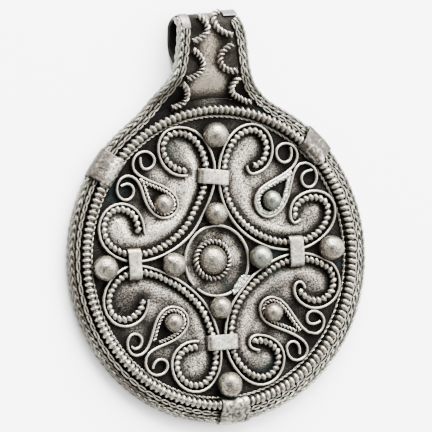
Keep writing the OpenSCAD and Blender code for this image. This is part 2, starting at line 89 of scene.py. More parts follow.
# Teardrop wires: x, y, heading in degrees
TEARDROPS = {
    "upper_left": [
        (-11.9, 15.5, -100), (-11, 13.7, 0), (-9.6, 14.9, 90), (-11.2, 16.3, 180), (-13.2, 14.4, -90),
        (-12, 12.7, -33), (-6.2, 8.3, -88), (-8.3, 6.35, 180), (-11.2, 8.4, 118), (-13.4, 12.75, 155),
        (-16.05, 11, -90), (-14.6, 9.4, 0), (-13.3, 10.6, 85), (-14.2, 11.75, 175), (-15.35, 11.5, -170)],
    "upper_right": [
        (12.8, 15.4, -70), (11.8, 13.2, 180), (10.4, 14.6, 95), (12, 16, 0), (13.85, 14.2, -90),
        (12.5, 12.1, -143), (6.5, 7.7, -92), (8.6, 5.4, 0), (11.5, 7.4, 57), (15, 12.95, -5),
        (16.85, 10.9, -90), (15.5, 9.3, 180), (14.3, 10.6, 90), (16.1, 11.8, 0)],
    "lower_left": [
        (-15.25, -12.1, -24), (-14.6, -12.5, 0), (-13.4, -11.3, 90), (-14.6, -10.3, 180),
        (-15.8, -11.7, -93), (-14.3, -13.5, 0), (-11, -9, 65), (-8.2, -6.75, 0), (-5.7, -9, -92),
        (-8.3, -11.7, -157), (-13.05, -14.7, -90), (-11.3, -16.6, -5), (-9.45, -15.2, 92),
        (-10.5, -14.3, 178), (-11.9, -15.6, -100)],
    "lower_right": [
        (15.95, -10.55, -150), (13.8, -10, 92), (15, -8.95, -5), (16.6, -10.6, -93), (15, -12.3, 180),
        (8.5, -6.45, 172), (6.2, -8.2, -90), (11.9, -12.4, -33), (13.6, -14.5, -92), (11.8, -16, 180),
        (10.2, -14.2, 90), (11.3, -13.2, 0), (12.25, -15.1, -105)],
}
# Twisted wires inside the teardrops: side of the teardrop, first row, last row
DROP_TWISTS = {"upper_left": (-1, 5.0, 8.75), "upper_right": (1, 5.0, 8.5), "lower_left": (-1, 5.6, 9.35),
               "lower_right": (1, 4.28, 6.95)}
# The teardrop whose twisted wire solder has run over
FLOODED = "upper_right"

# Ridge of the embossed field in each scroll: x, y, heading in degrees, half width
FIELDS = [
    [(-5.6, 17, -60, 0.6), (-4.84, 15.74, -65, 1.95), (-3.15, 12.4, -88, 0.85), (-4, 10.5, -112, 1.5),
     (-5.45, 6.85, -125, 0.85), (-9.3, 4.5, -160, 1.6), (-13, 3.15, 175, 0.95), (-15.7, 4.9, 110, 2.0),
     (-16, 6.1, 100, 0.6)],
    [(6.5, 17, -115, 0.6), (6.1, 15.65, -118, 1.95), (3.9, 12.2, -100, 1.5), (4.4, 9.3, -78, 2),
     (5.2, 6.4, -55, 1.2), (8.4, 4, -20, 1.1), (12.4, 3.1, 5, 0.95), (15.65, 4.85, 50, 1.7),
     (16.5, 6, 60, 0.6)],
    [(-16.3, -6, 60, 0.6), (-15.6, -5, 50, 2), (-12.6, -3.5, -5, 1.3), (-10.5, -4.2, -28, 1.5),
     (-7.9, -5.25, -38, 1.1), (-5.15, -7.3, -52, 0.75), (-4.2, -9.65, -78, 1.2), (-3.3, -12.3, -90, 0.75),
     (-4.6, -15.6, -115, 2), (-5.3, -16.6, -115, 0.7)],
    [(16.7, -5.8, 115, 0.5), (16.1, -4.8, 130, 1.8), (13, -3.15, 175, 1.1), (10.2, -3.8, -170, 1.6),
     (7.5, -4.85, -140, 1.15), (5.1, -6.75, -125, 1.1), (4.1, -9.1, -108, 1.7), (2.95, -12.7, -85, 0.9),
     (4.9, -15.75, -45, 1.4), (6.8, -15.8, 15, 1.2), (7.3, -15.5, 30, 0.5)],
]
# How bright each field is rubbed
FIELD_WEAR = (1.0, 0.76, 0.6, 0.66)
# Rubbed places beside the fields, and dulled ones on them: x, y, radius, how bright
RUBBED = [
    (-8.6, 12.6, 3.0, 0.75), (-6.4, 10.6, 2.8, 0.9), (-10.4, 6.1, 3.0, 0.8), (-13.6, 7.4, 2.6, 0.6),
    (-11.4, 10.6, 2.4, 0.5), (6.9, 11.2, 2.8, 0.68), (9.2, 11.8, 3.0, 0.5), (10.8, 5.2, 3.0, 0.64),
    (12.6, 9.6, 2.6, 0.45), (15.2, 14.6, 2.6, 0.25), (-11.3, -6.6, 3.2, 0.62), (-6.4, -11.4, 2.8, 0.56),
    (-14.2, -10, 2.8, 0.4), (-8.4, -14, 3.0, 0.48), (-10.6, -13.2, 2.2, 0.35), (11.4, -5.3, 3.0, 0.72),
    (5.6, -10.4, 3.0, 0.58), (9.1, -12.6, 2.8, 0.5), (14.4, -8.2, 2.6, 0.4), (12.6, -11.2, 2.6, 0.35),
    (3.2, 0.2, 3.0, 0.86), (2.4, 2.8, 2.8, 0.74), (2.4, -2.8, 2.8, 0.46), (-1.0, 3.6, 3.2, 0.68),
    (-4.2, 1.0, 3.2, 0.7), (-3.8, -2.4, 3.2, 0.68), (-0.6, -4.2, 3.2, 0.46), (0, 23.3, 3.6, 0.32),
    (-15.9, -5.6, 4.2, -0.7), (5.2, -15.6, 3.4, -0.3), (15.2, 4.8, 3.4, -0.5), (-5.4, 16.4, 3.4, -0.42),
    (-4.8, -15.8, 3.0, -0.1), (10.2, -7.6, 2.6, -0.2), (-15.8, 5.4, 2.6, -0.15), (6.4, 17.4, 2.6, -0.35),
    (11.5, 2.8, 2.8, -0.2),
]

# Braid up the two sides of the neck: x, y, heading in degrees
BRAID_TIP = (-4.7, 35.5, -88)
NECK_LEFT = [(-4.65, 34.1, -93), (-5.25, 29.8, -101), (-6.45, 26.65, -120), (-9.6, 22.75, -134)]
NECK_RIGHT = [(8.95, 22.75, 134), (6.26, 25.77, 118), (5.55, 28.4, 93), (5.35, 31.8, 94), (4.4, 35, 112)]
# Angle at which the braid leaves the neck for the disc, and its radius round the disc
NECK_TURN, BRAID_RING = 124, 23.85

# Rope arcs on the neck: x, y, heading in degrees
NECK_ROPES = {
    "left_upper": [(-1.9, 35.8, -40), (-0.75, 33.8, -90), (-3.3, 31.9, -165)],
    "left_middle": [(-3.4, 30.8, -40), (-1.85, 28.5, -90), (-4.5, 26.5, -170)],
    "left_lower": [(-5.2, 25.9, -35), (-3.95, 23.9, -90), (-6.3, 22.35, -170)],
    "right_upper": [(1.7, 36, 180), (0.4, 34.9, -90), (3.2, 32.45, -15)],
    "right_middle": [(3.2, 31.2, -155), (0.98, 29, -90), (3.7, 27.25, 10)],
    "right_lower": [(4.1, 26.3, -140), (3.15, 24.8, -92), (5.2, 22.9, -32), (6.8, 22.4, 0)],
}

# Balls: x, y, and which of the three sizes
BALLS = {
    "top": (0.23, 18, "outer"), "left": (-19.08, -0.35, "outer"), "right": (18.14, 0.17, "outer"),
    "bottom": (0.1, -18.77, "outer"), "inner_top": (-0.36, 6.45, "inner"),
    "inner_left": (-7.75, -0.55, "inner"), "inner_right": (6.52, -0.42, "inner"),
    "inner_bottom": (-0.57, -7.4, "inner"),
    "drop_upper_left": (-8.8, 8.4, "drop"), "drop_upper_right": (9, 7.8, "drop"),
    "drop_lower_left": (-8.26, -9.1, "drop"), "drop_lower_right": (8.14, -8.68, "drop"),
}
# Balls with a greenish film
GREENED = ("drop_upper_right", "inner_right")
# The ball that keeps a small point where its wire was cut, how much larger it is, and where the point looks
NUBBED, NUBBED_LARGER, NUB_TOWARDS = "inner_left", 1.04, Vector((-0.72, 0.42, 0.3)).normalized()
# That point: distance out as a share of the ball's radius, radius at its foot and tip, length
NUB_OUT, NUB_FOOT, NUB_TIP, NUB_LONG = 0.935, 1.25, 0.45, 0.82
# Places of the boss, and of the dish with the plain ring round it
BOSS_AT, RING_AT = (-0.85, -0.35), (-0.3, -0.5)
# Radius of the dish's flat middle, and the width of the slope round it
DISH_FLAT, DISH_SLOPE = 3.7, 1.5

# Bands: x, y, turn in degrees, reach to each side across the wires, width along the wires
BANDS = {
    "top": (-0.15, 11.85, -8, 2.5, 2.5, 2.15), "left": (-14.05, -0.1, 90, 2.35, 2.35, 2.05),
    "right": (12.55, 0.05, 90, 2.3, 2.3, 2.25), "bottom": (-0.4, -12.5, 0, 2.5, 2.6, 2.2),
}
# How a band bends over at both ends: distance from its side, depth under its top
BAND_BEND = ((0, 0.5), (0.08, 0.22), (0.3, 0.04), (0.6, 0))
# Rim beads between two clamps: first and last angle round the disc, slant, outline of one bead
RIM_ARCS = (
    (42.5, 141, 14, (0.48, 0.58, 0.82, 0.96, 1, 0.97, 0.87, 0.68, 0.52, 0.48)),
    (141, 272, 0, (0.48, 0.52, 0.72, 0.89, 0.98, 1, 0.96, 0.84, 0.6, 0.48)),
    (272, 402.5, -8, (0.48, 0.56, 0.84, 0.96, 1, 1, 1, 0.96, 0.84, 0.56, 0.48)),
)
# Clamps over the rim: first and last angle round the disc
CLAMPS = {"upper_left": (135.5, 147), "upper_right": (37, 48), "bottom": (-93.5, -82)}
# A clamp's way down from the beads to the braid, and over the braid's outer side: distance out, height
CLAMP_DOWN = [(22.35, 3.2), (22.75, 2.92), (23.05, 2.66), (23.35, 2.5), (23.75, 2.42)]
CLAMP_END = [(-0.35, 2.3), (-0.1, 2.08), (0, 1.7), (-0.02, 1.2), (-0.28, 0.68), (-0.34, 0.5)]
# Caps over the braid's ends: lowest x, width, first and last angle round the fold
CAPS = {"left": (-4.7, 1.4, 22, 92), "right": (2.4, 2.25, 10, 52)}
# Solder between the centre ring and the lower right scroll
PATCH = [(1.7, -5.05), (3.4, -2.9), (5.05, -2.95), (2.35, -5.6), (1.9, -5.7)]

# Height of the plate's face, and the gap that solder fills
PLATE_TOP, GAP = 1.6, 0.05
# Height that the wires and balls sit at
SEAT = PLATE_TOP + GAP
# How far the braid's middle lies under the face
BRAID_SINK = 0.33
# Height of the strip's face, and where on y its rise begins and ends
STRIP_TOP, RISE_FROM, RISE_TO = 3.9, 22.6, 27.6
# Where on y the fold's middle lies, the fold's radius, and where on y the back leg begins
FOLD_Y, FOLD_R, BACK_FROM = 34.0, 1.95, 28.4
# Rear end of the strip's section from the back leg up to the face, and the narrow end of the eye: y, height
STRIP_REAR = [(31, 0), (30.2, 0.22), (29.3, 0.9), (28.5, 1.85)]
EYE_END = [(30.6, 0.95), (29.9, 1.5), (29.35, 2.2)]
# A ball's centre over its seat as a share of its radius, the boss's over the dish, and their straight foot
BALL_LIFT, BOSS_LIFT, FOOT = 0.78, 0.3, 0.12
# Cells across the plate's grid
GRID = 250
# How far beyond a field's half width its relief falls, its wear reaches and a faint sheen reaches
SOFT_EDGE, WEAR_EDGE, SHEEN_EDGE = 0.45, 1.5, 4.5
# How bright the sheen is
SHEEN = 0.42
# Segments round the disc where it cuts the plate and the strip
ROUND = 180
# Strand thickness and spread of a rope as shares of its own thickness
STRAND, SPREAD = 0.6, 0.2
# The two thin wires beside the braid: height over the face, thickness, distance, length between crossings
PAIR = (0.3, 0.29, 0.46, 1.5)
# Strands of the braid: place across, place up, hand of the twist
BRAID_STRANDS = ((-0.26, 0.24, 1), (0.24, 0.24, -1), (-0.22, -0.24, -1), (0.22, -0.26, 1))

# Lights: place and size in metres, watts
LIGHTS = {"key": ((0.08, 0.72, 0.42), 0.7, 57.0), "fill": ((0.5, 0.2, 0.45), 0.6, 11.0)}
# Where the light all round is strongest
BRIGHT_SIDE = (0.2, 0.85, 0.4)
# Its least strength, what the bright side adds, and the share lost behind the camera
LIGHT_LEAST, LIGHT_MORE, DIMMED = 1.9, 3.6, 0.85
# The image's side in pixels, the width that it shows, the camera's distance and its sensor
IMAGE, VIEW, AWAY, SENSOR = 432, 63.5, 3000.0, 36
# A place in the pendant, and where it shows in the image
AIM_AT, AIM_PIXEL = Vector((0, 0, 2.375)), (219.5, 257.2)
# The camera's roll, and how far it stands to the pendant's left
ROLL, ASIDE = math.radians(3.85), math.radians(26.4)
CAMERA_UP = Vector((math.sin(ROLL), math.cos(ROLL), 0))
CAMERA_BACK = Vector((-math.sin(ASIDE) * math.cos(ROLL), math.sin(ASIDE) * math.sin(ROLL), math.cos(ASIDE)))


def length(label, text, millimetres):
    return FloatProperty(name=label, description=text, default=millimetres * MM, min=0, precision=5,
                         unit="LENGTH", subtype="DISTANCE")


def colour(label, text, value):
    return FloatVectorProperty(name=label, description=text, default=value, min=0, max=1, size=3,
                               subtype="COLOR")


class PendantSizes(bpy.types.PropertyGroup):
    plate_radius: length("Plate radius", "Radius of the round base plate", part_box("base_plate")[1].x / MM)
    plate_thickness: length("Plate thickness", "Thickness of the base plate", PLATE_TOP)
    relief: length("Relief", "Height of the embossed fields over the plate", 0.5)
    dish_depth: length("Dish depth", "Depth of the dish round the boss", 0.5)
    bead_ring_radius: length("Bead ring radius", "Radius of the large beaded wire's ring", 21.75)
    bead_diameter: length("Bead diameter", "Width of the large beads", 1.5)
    inner_wire_radius: length("Inner wire radius", "Radius of the thin wire inside the beads", 20.75)
    inner_wire_diameter: length("Inner wire", "Thickness of the thin wire inside the beads", 0.42)
    scroll_width: length("Scroll width", "Width of the plain scroll wires", 0.4)
    scroll_height: length("Scroll height", "Height of the plain scroll wires", 0.8)
    beaded_diameter: length("Scroll beads", "Width of the beaded wires inside the scrolls", 1.0)
    beaded_pitch: length("Scroll bead pitch", "Distance between two beads inside the scrolls", 0.84)
    drop_width: length("Teardrop width", "Width of the teardrop wires", 0.4)
    drop_height: length("Teardrop height", "Height of the teardrop wires", 0.74)
    drop_twist: length("Teardrop twist", "Thickness of the twisted wires inside the teardrops", 0.6)
    drop_twist_gap: length("Twist distance", "Distance between a teardrop's two wires", 0.57)
    rope: length("Rope", "Thickness of the two-strand ropes", 1.06)
    braid_width: length("Braid width", "Width of the braid round the edge", 0.9)
    braid_height: length("Braid height", "Height of the braid round the edge", 1.4)
    pair_distance: length("Pair distance", "From the braid's middle to the two thin wires beside it", 0.9)
    outer_ball: length("Rim balls", "Radius of the balls near the rim", 1.88)
    inner_ball: length("Inner balls", "Radius of the balls round the centre", 1.69)
    drop_ball: length("Teardrop balls", "Radius of the balls in the teardrops", 1.41)
    boss: length("Boss", "Radius of the boss in the middle", 2.28)
    boss_rope_radius: length("Boss rope radius", "Radius of the rope ring round the boss", 2.72)
    centre_ring_radius: length("Centre ring radius", "Radius of the plain ring round the dish", 5.2)
    centre_ring_wire: length("Centre ring wire", "Thickness of the plain ring's wire", 0.44)
    strap: length("Strap", "Thickness of the bands', clamps' and caps' sheet", 0.3)
    band_top: length("Band top", "Height of the bands over the disc's back", 3.0)
    sheet: length("Bail sheet", "Thickness of the bail's sheet", 0.75)
    rim_beads: IntProperty(name="Rim beads", description="How many beads lie round the rim", default=154,
                           min=20)


class PendantFinish(bpy.types.PropertyGroup):
    bright: colour("Rubbed silver", "Where wear keeps the silver bright", (0.465, 0.436, 0.376))
    worn: colour("Worn silver", "Silver with a thin brownish film", (0.19, 0.165, 0.14))
    patina: colour("Patina", "Black sulphide left in the recesses", (0.006, 0.0055, 0.005))
    verdigris: colour("Verdigris", "Blue-green traces of copper in the recesses", (0.012, 0.03, 0.03))
    floor: colour("Floor", "The pale surface that the pendant lies on", (1.0, 1.0, 1.0))


# Paths

def heading(degrees):
    """The direction of an angle."""
    return Vector((math.cos(math.radians(degrees)), math.sin(math.radians(degrees))))


def turning(a, b):
    """The smaller turn from one angle to another."""
    return (b - a + 180) % 360 - 180


def stretches(a, b, step):
    """How many stretches, of at most step degrees or 0.7 mm, the smooth line between two rows needs."""
    return max(abs(turning(a[2], b[2])) / step, math.dist(a[:2], b[:2]) / 0.7)


def handle(a, b):
    """How far a row's handle reaches towards the next row."""
    return math.dist(a[:2], b[:2]) / (3 * math.cos(math.radians(turning(a[2], b[2]) / 4)) ** 2)


def follow(rows, side=0.0, shift=0.0, first=0, last=None, step=7.0):
    """Points along the smooth line through rows, moved to its left by side times the gap, plus shift."""
    end = len(rows) - 1 if last is None else last
    line = []
    for i in range(int(first), math.ceil(end)):
        a, b = rows[i], rows[i + 1]
        reach = handle(a, b)
        start, stop = Vector(a[:2]), Vector(b[:2])
        out, back = start + heading(a[2]) * reach, stop - heading(b[2]) * reach
        low, high = max(0.0, first - i), min(1.0, end - i)
        count = max(2, math.ceil(stretches(a, b, step) * (high - low)))
        for k in range(count + (i + 1 >= end)):
            t = low + (high - low) * k / count
            s = 1 - t
            here = start * s ** 3 + out * 3 * s * s * t + back * 3 * s * t * t + stop * t ** 3
            ahead = ((out - start) * s * s + (back - out) * 2 * s * t + (stop - back) * t * t).normalized()
            off = shift + (side * (a[3] * s + b[3] * t) if side else 0)
            line.append(here + Vector((-ahead.y, ahead.x)) * off)
    return line


def ease(t):
    """0 up to 0, 1 from 1 on and a soft change between them."""
    t = min(1.0, max(0.0, t))
    return t * t * (3 - 2 * t)


def face_height(y):
    """Height of the plate's and the strip's face at y."""
    if y > FOLD_Y:
        return FOLD_R + math.sqrt(max(0.01, FOLD_R ** 2 - (y - FOLD_Y) ** 2))
    return PLATE_TOP + (STRIP_TOP - PLATE_TOP) * ease((y - RISE_FROM) / (RISE_TO - RISE_FROM))


def face_slope(y):
    return (face_height(y + 0.01) - face_height(y - 0.01)) / 0.02


def on_face(point, lift):
    """A point that lies lift over the face, square to it."""
    x, y = point
    if y > FOLD_Y:
        return Vector((x, y, FOLD_R + math.sqrt(max(0.01, (FOLD_R + lift) ** 2 - (y - FOLD_Y) ** 2))))
    return Vector((x, y, face_height(y) + lift * math.hypot(1, face_slope(y))))


def round_rows(centre, radius, first, last, count):
    """Rows of a wire that goes round a centre."""
    turns = [first + k * (last - first) / count for k in range(count + 1)]
    return [(*(Vector(centre) + radius * heading(a)), a + 90) for a in turns]


def rim_rows():
    """Rows down the left side of the neck, round the disc and up the right side."""
    return NECK_LEFT + round_rows((0, 0), BRAID_RING, NECK_TURN, 420, 10) + NECK_RIGHT


def bent_line(centre, radius, angles):
    """Pairs of numbers on a bend in a section."""
    return [(centre[0] + radius * math.cos(math.radians(a)), centre[1] + radius * math.sin(math.radians(a)))
            for a in angles]


def circle(centre, radius, z, first=0.0, last=360.0, step=4.0):
    """Points round a circle. A full turn leaves its last point out, for a closed path."""
    count = math.ceil(abs(last - first) / step)
    ends = count if abs(last - first) >= 360 else count + 1
    places = (Vector(centre) + radius * heading(first + (last - first) * k / count) for k in range(ends))
    return [Vector((p.x, p.y, z)) for p in places]


# Modelling helpers

def deselect():
    if bpy.context.mode != "OBJECT":
        bpy.ops.object.mode_set(mode="OBJECT")
    bpy.ops.object.select_all(action="DESELECT")


def pick(*objects):
    """Selects only these objects and makes the first one active."""
    deselect()
    for one in objects:
        one.select_set(True)
    bpy.context.view_layer.objects.active = objects[0]
    return objects[0]


def settle(one):
    """Puts an object's place, turn and scale into its mesh."""
    pick(one)
    bpy.ops.object.transform_apply(location=True, rotation=True, scale=True)
    return one


def modify(one, kind, **settings):
    """Adds one modifier and applies it."""
    pick(one)
    bpy.ops.object.modifier_add(type=kind)
    modifier = one.modifiers[-1]
    for key, value in settings.items():
        setattr(modifier, key, value)
    bpy.ops.object.modifier_apply(modifier=modifier.name)
    return one


def edit(one, element=None, action="SELECT"):
    """Goes into edit mode with everything or nothing selected."""
    pick(one)
    bpy.ops.object.mode_set(mode="EDIT")
    if element:
        bpy.ops.mesh.select_mode(type=element)
    bpy.ops.mesh.select_all(action=action)


def select_faces(one, test):
    """Goes into edit mode with only the faces selected that pass the test."""
    edit(one, "FACE", "DESELECT")
    bpy.ops.object.mode_set(mode="OBJECT")
    for polygon in one.data.polygons:
        polygon.select = test(polygon)
    bpy.ops.object.mode_set(mode="EDIT")


def tidy(one, distance=0.002):
    """Merges doubles, closes what is open and turns the faces outwards."""
    edit(one)
    bpy.ops.mesh.remove_doubles(threshold=distance * MM)
    bpy.ops.mesh.fill_holes(sides=0)
    bpy.ops.mesh.normals_make_consistent(inside=False)
    bpy.ops.object.mode_set(mode="OBJECT")
    return one


def roughen(one, strength, size, depth=2):
    """Moves the surface in and out by a soft noise, as hand work does."""
    texture = bpy.data.textures.new("clouds", "CLOUDS")
    texture.noise_scale = size * MM
    texture.noise_depth = depth
    return modify(one, "DISPLACE", texture=texture, texture_coords="GLOBAL", strength=strength * MM,
                  mid_level=0.5)


def add_line(curve, points, closed):
    """Puts a line of straight stretches into an empty curve. The points are in millimetres."""
    spline = curve.data.splines.new("POLY")
    spline.points.add(len(points) - 1)
    spline.points.foreach_set("co", [c for x, y, z in points for c in (x * MM, y * MM, z * MM, 1)])
    spline.use_cyclic_u = closed


def draw_path(points, closed=False):
    """A curve through points in millimetres, upright along Z."""
    deselect()
    bpy.ops.curve.primitive_nurbs_path_add()
    path = bpy.context.object
    path.data.splines.clear()
    add_line(path, points, closed)
    path.data.twist_mode = "Z_UP"
    return path


def path_length(points, closed=False):
    pairs = zip(points, points[1:] + points[:1] if closed else points[1:])
    return sum(math.dist(a, b) for a, b in pairs)


def lay_along(one, points, closed=False):
    """Bends a straight piece along a path."""
    path = draw_path(points, closed)
    modify(one, "CURVE", object=path, deform_axis="POS_X")
    bpy.data.objects.remove(path)
    return tidy(one, 0.01) if closed else one


def to_mesh(one):
    pick(one)
    bpy.ops.object.convert(target="MESH")
    return bpy.context.object


def join(parts):
    pick(*parts)
    bpy.ops.object.join()
    return bpy.context.object


def plain_wire(rows, width, height, z):
    """A plain wire through a table's rows, flat on its seat, with rounded tips."""
    deselect()
    bpy.ops.curve.primitive_bezier_curve_add()
    curve = bpy.context.object
    points = curve.data.splines[0].bezier_points
    points.add(len(rows) - len(points))
    for i, row in enumerate(rows):
        here = Vector((row[0], row[1], z)) * MM
        ahead = heading(row[2]).to_3d() * MM
        points[i].handle_left_type = points[i].handle_right_type = "FREE"
        points[i].co = here
        points[i].handle_left = here - ahead * (handle(rows[i - 1], row) if i else 0.3)
        points[i].handle_right = here + ahead * (handle(row, rows[i + 1]) if i < len(rows) - 1 else 0.3)
    data = curve.data
    data.twist_mode = "Z_UP"
    data.resolution_u = 7
    data.bevel_depth = width / 2
    data.extrude = (height - width) / 2
    data.bevel_resolution = 2
    data.use_fill_caps = True
    return round_tips(tidy(to_mesh(curve)), width)


def round_tips(wire, width):
    """Draws each flat end of a wire out into a rounded tip."""
    ends = [f.center.copy() for f in wire.data.polygons if len(f.vertices) > 4]
    for end in ends:
        caps = [f for f in wire.data.polygons if len(f.vertices) > 4]
        cap = min(caps, key=lambda f: (f.center - end).length)
        out = cap.normal.copy() * width
        select_faces(wire, lambda f: f.index == cap.index)
        for push, shrink in ((0.2, 0.86), (0.13, 0.7), (0.06, 0.5)):
            bpy.ops.mesh.extrude_region_move(TRANSFORM_OT_translate={"value": out * push})
            end = end + out * push
            bpy.ops.transform.resize(value=(shrink, shrink, shrink), center_override=end)
        bpy.ops.object.mode_set(mode="OBJECT")
    return wire


def beaded_wire(points, width, height, count, profile, slant=0.0, sides=10):
    """One bead, drawn out ring by ring to a profile and repeated along a path."""
    pitch = path_length(points) * MM / count
    deselect()
    bpy.ops.mesh.primitive_circle_add(vertices=sides, radius=profile[0], rotation=(0, math.pi / 2, 0))
    bead = settle(bpy.context.object)
    bead.scale = (1, width / 2, height / 2)
    bead.rotation_euler = (0, 0, math.radians(slant))
    settle(bead)
    edit(bead, "VERT")
    step = pitch / (len(profile) - 1)
    for k in range(1, len(profile)):
        bpy.ops.mesh.extrude_region_move(TRANSFORM_OT_translate={"value": (step, 0, 0)})
        grow = profile[k] / profile[k - 1]
        bpy.ops.transform.resize(value=(grow, grow, grow), center_override=(k * step, 0, 0))
    modify(bead, "ARRAY", fit_type="FIXED_COUNT", count=count, use_relative_offset=False,
           use_constant_offset=True, constant_offset_displace=(pitch, 0, 0), use_merge_vertices=True,
           merge_threshold=pitch * 0.02)
    return lay_along(tidy(bead), points)


def twisted_wire(points, strand, spread, pitch, closed=False, hand=1, flatten=1.0, phase=0.0, sides=8,
                 steps=12):
    """Two strands wound round each other and laid along a path."""
    run = path_length(points, closed)
    turns = max(1, round(run / pitch))
    deselect()
    strands = []
    for half in (0, 180):
        place = heading(half + phase) * spread * MM
        bpy.ops.mesh.primitive_circle_add(vertices=sides, radius=strand / 2 * MM,
                                          rotation=(0, math.pi / 2, 0), location=(0, place.x, place.y))
        strands.append(settle(bpy.context.object))
    rope = join(strands)
    modify(rope, "SCREW", axis="X", angle=hand * math.tau, screw_offset=run * MM / turns, iterations=turns,
           steps=steps, render_steps=steps, use_normal_calculate=True, use_smooth_shade=True)
    rope.scale.z = flatten
    settle(rope)
    if not closed:
        tidy(rope)
    return lay_along(rope, points, closed)


def crossing_wires(points, thick, apart, spacing):
    """Two thin wires side by side that change places now and then."""
    run, stretch = path_length(points), 0.16
    wires = []
    for side in (1, -1):
        line = []
        for k in range(math.ceil(run / stretch) + 1):
            x = min(run, stretch * k)
            swing = math.tanh(1.8 * math.sin(math.pi * x / spacing + 0.9 * math.sin(x * 0.37)))
            line.append((x, side * apart / 2 * swing, side * thick * 0.5 * (1 - abs(swing))))
        wire = draw_path(line)
        wire.data.bevel_depth = thick / 2 * MM
        wire.data.bevel_resolution = 1
        wire.data.use_fill_caps = True
        wires.append(tidy(to_mesh(wire)))
    return lay_along(join(wires), points)


def strap(points, thickness, sweep):
    """A sheet whose middle line is swept, given its thickness and softened at the edges."""
    sheet = to_mesh(draw_path(points))
    edit(sheet, "VERT")
    sweep()
    bpy.ops.mesh.select_all(action="SELECT")
    bpy.ops.mesh.remove_doubles(threshold=0.002 * MM)
    bpy.ops.mesh.normals_make_consistent(inside=False)
    modify(sheet, "SOLIDIFY", thickness=thickness, offset=0, use_even_offset=True)
    return tidy(soften(sheet, 0.07, 50), 0.001)


def soften(one, width, angle):
    """Bevels the edges that are sharper than an angle."""
    return modify(one, "BEVEL", width=width * MM, segments=2, limit_method="ANGLE",
                  angle_limit=math.radians(angle))


def filled_outline(splines, depth, turn):
    """A flat outline, filled and made depth thick on each side, then turned into place."""
    deselect()
    bpy.ops.curve.primitive_bezier_curve_add()
    curve = bpy.context.object
    curve.data.splines.clear()
    for points in splines:
        add_line(curve, [(x, y, 0) for x, y in points], True)
    curve.data.dimensions = "2D"
    curve.data.fill_mode = "BOTH"
    curve.data.extrude = depth * MM
    shape = to_mesh(curve)
    shape.matrix_world = turn
    return tidy(settle(shape), 0.001)


def cut(one, other, operation):
    """A boolean of two closed solids. The second one is used up."""
    modify(one, "BOOLEAN", object=other, operation=operation, solver="EXACT")
    bpy.data.objects.remove(other)
    return one


def hand_over(one, node, finish, name=None, angle=40):
    """Names a finished piece, gives it its finish and puts it in the frame for the node it stands for."""
    pick(one)
    one.name = one.data.name = name or "silver_" + node
    bpy.ops.object.shade_smooth_by_angle(angle=math.radians(angle))
    one.data.materials.clear()
    one.data.materials.append(material_of(finish))
    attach(one, "root")
    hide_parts(node)


# Shader maths

class Socket:
    """A node's socket that takes part in sums."""

    def __init__(self, paint, socket):
        self.paint, self.socket = paint, socket

    def __add__(self, other):
        return self.paint.maths("ADD", self, other)

    def __sub__(self, other):
        return self.paint.maths("SUBTRACT", self, other)

    def __rsub__(self, other):
        return self.paint.maths("SUBTRACT", other, self)

    def __mul__(self, other):
        return self.paint.maths("MULTIPLY", self, other)

    __radd__, __rmul__ = __add__, __mul__


class Paint:
    """The nodes of a material or of the world, built from expressions on sockets."""

    def __init__(self, owner):
        owner.use_nodes = True
        self.owner, self.tree = owner, owner.node_tree
        self.tree.nodes.clear()
        place = self.node("ShaderNodeTexCoord", output="Object")
        self.place = self.node("ShaderNodeMapping", inputs={"Vector": place, "Scale": [1 / MM] * 3})
        self.x, self.y, self.z = (self.node("ShaderNodeSeparateXYZ", inputs={0: self.place}, output=i)
                                  for i in range(3))

    def node(self, kind, settings=None, inputs=None, output=0):
        made = self.tree.nodes.new(kind)
        for key, value in (settings or {}).items():
            setattr(made, key, value)
        for key, value in (inputs or {}).items():
            if isinstance(value, Socket):
                self.tree.links.new(value.socket, made.inputs[key])
            else:
                made.inputs[key].default_value = value
        return Socket(self, made.outputs[output]) if made.outputs else None

    def maths(self, operation, *values):
        return self.node("ShaderNodeMath", {"operation": operation}, dict(enumerate(values)))

    def reach(self, across, up):
        """Length of the slanting line that goes so far across and so far up."""
        both = self.node("ShaderNodeCombineXYZ", inputs={0: across, 1: up})
        return self.node("ShaderNodeVectorMath", {"operation": "LENGTH"}, {0: both}, output="Value")

    def noise(self, scale, detail):
        """Soft noise between 0 and 1 with scale features a millimetre."""
        return self.node("ShaderNodeTexNoise", inputs={
            "Vector": self.place, "Scale": scale, "Detail": detail})

    def between(self, value, low, high):
        """0 at low, 1 at high and a soft change between them."""
        return self.node("ShaderNodeMapRange", {"interpolation_type": "SMOOTHSTEP"},
                         {"Value": value, "From Min": low, "From Max": high})

    def ramp(self, value, low, high):
        """0 at low, 1 at high and an even change between them."""
        return self.node("ShaderNodeMapRange", inputs={"Value": value, "From Min": low, "From Max": high})

    def mix(self, factor, one, other):
        return self.node("ShaderNodeMix", {"data_type": "RGBA"}, {0: factor, 6: one, 7: other}, output=2)

    def openness(self, reach):
        """1 on open ground and 0 deep in a recess."""
        return self.node("ShaderNodeAmbientOcclusion", {"samples": 12}, {"Distance": reach * MM},
                         output="AO")

    def finish(self, base, roughness, relief, depth, metallic=1.0):
        bump = self.node("ShaderNodeBump", inputs={
            "Height": relief, "Distance": depth * MM, "Strength": 1.0})
        shader = self.node("ShaderNodeBsdfPrincipled", inputs={
            "Base Color": base, "Roughness": roughness, "Metallic": metallic, "Normal": bump})
        self.node("ShaderNodeOutputMaterial", inputs={"Surface": shader})
        return self.owner


def solid(value):
    return (*value, 1.0)


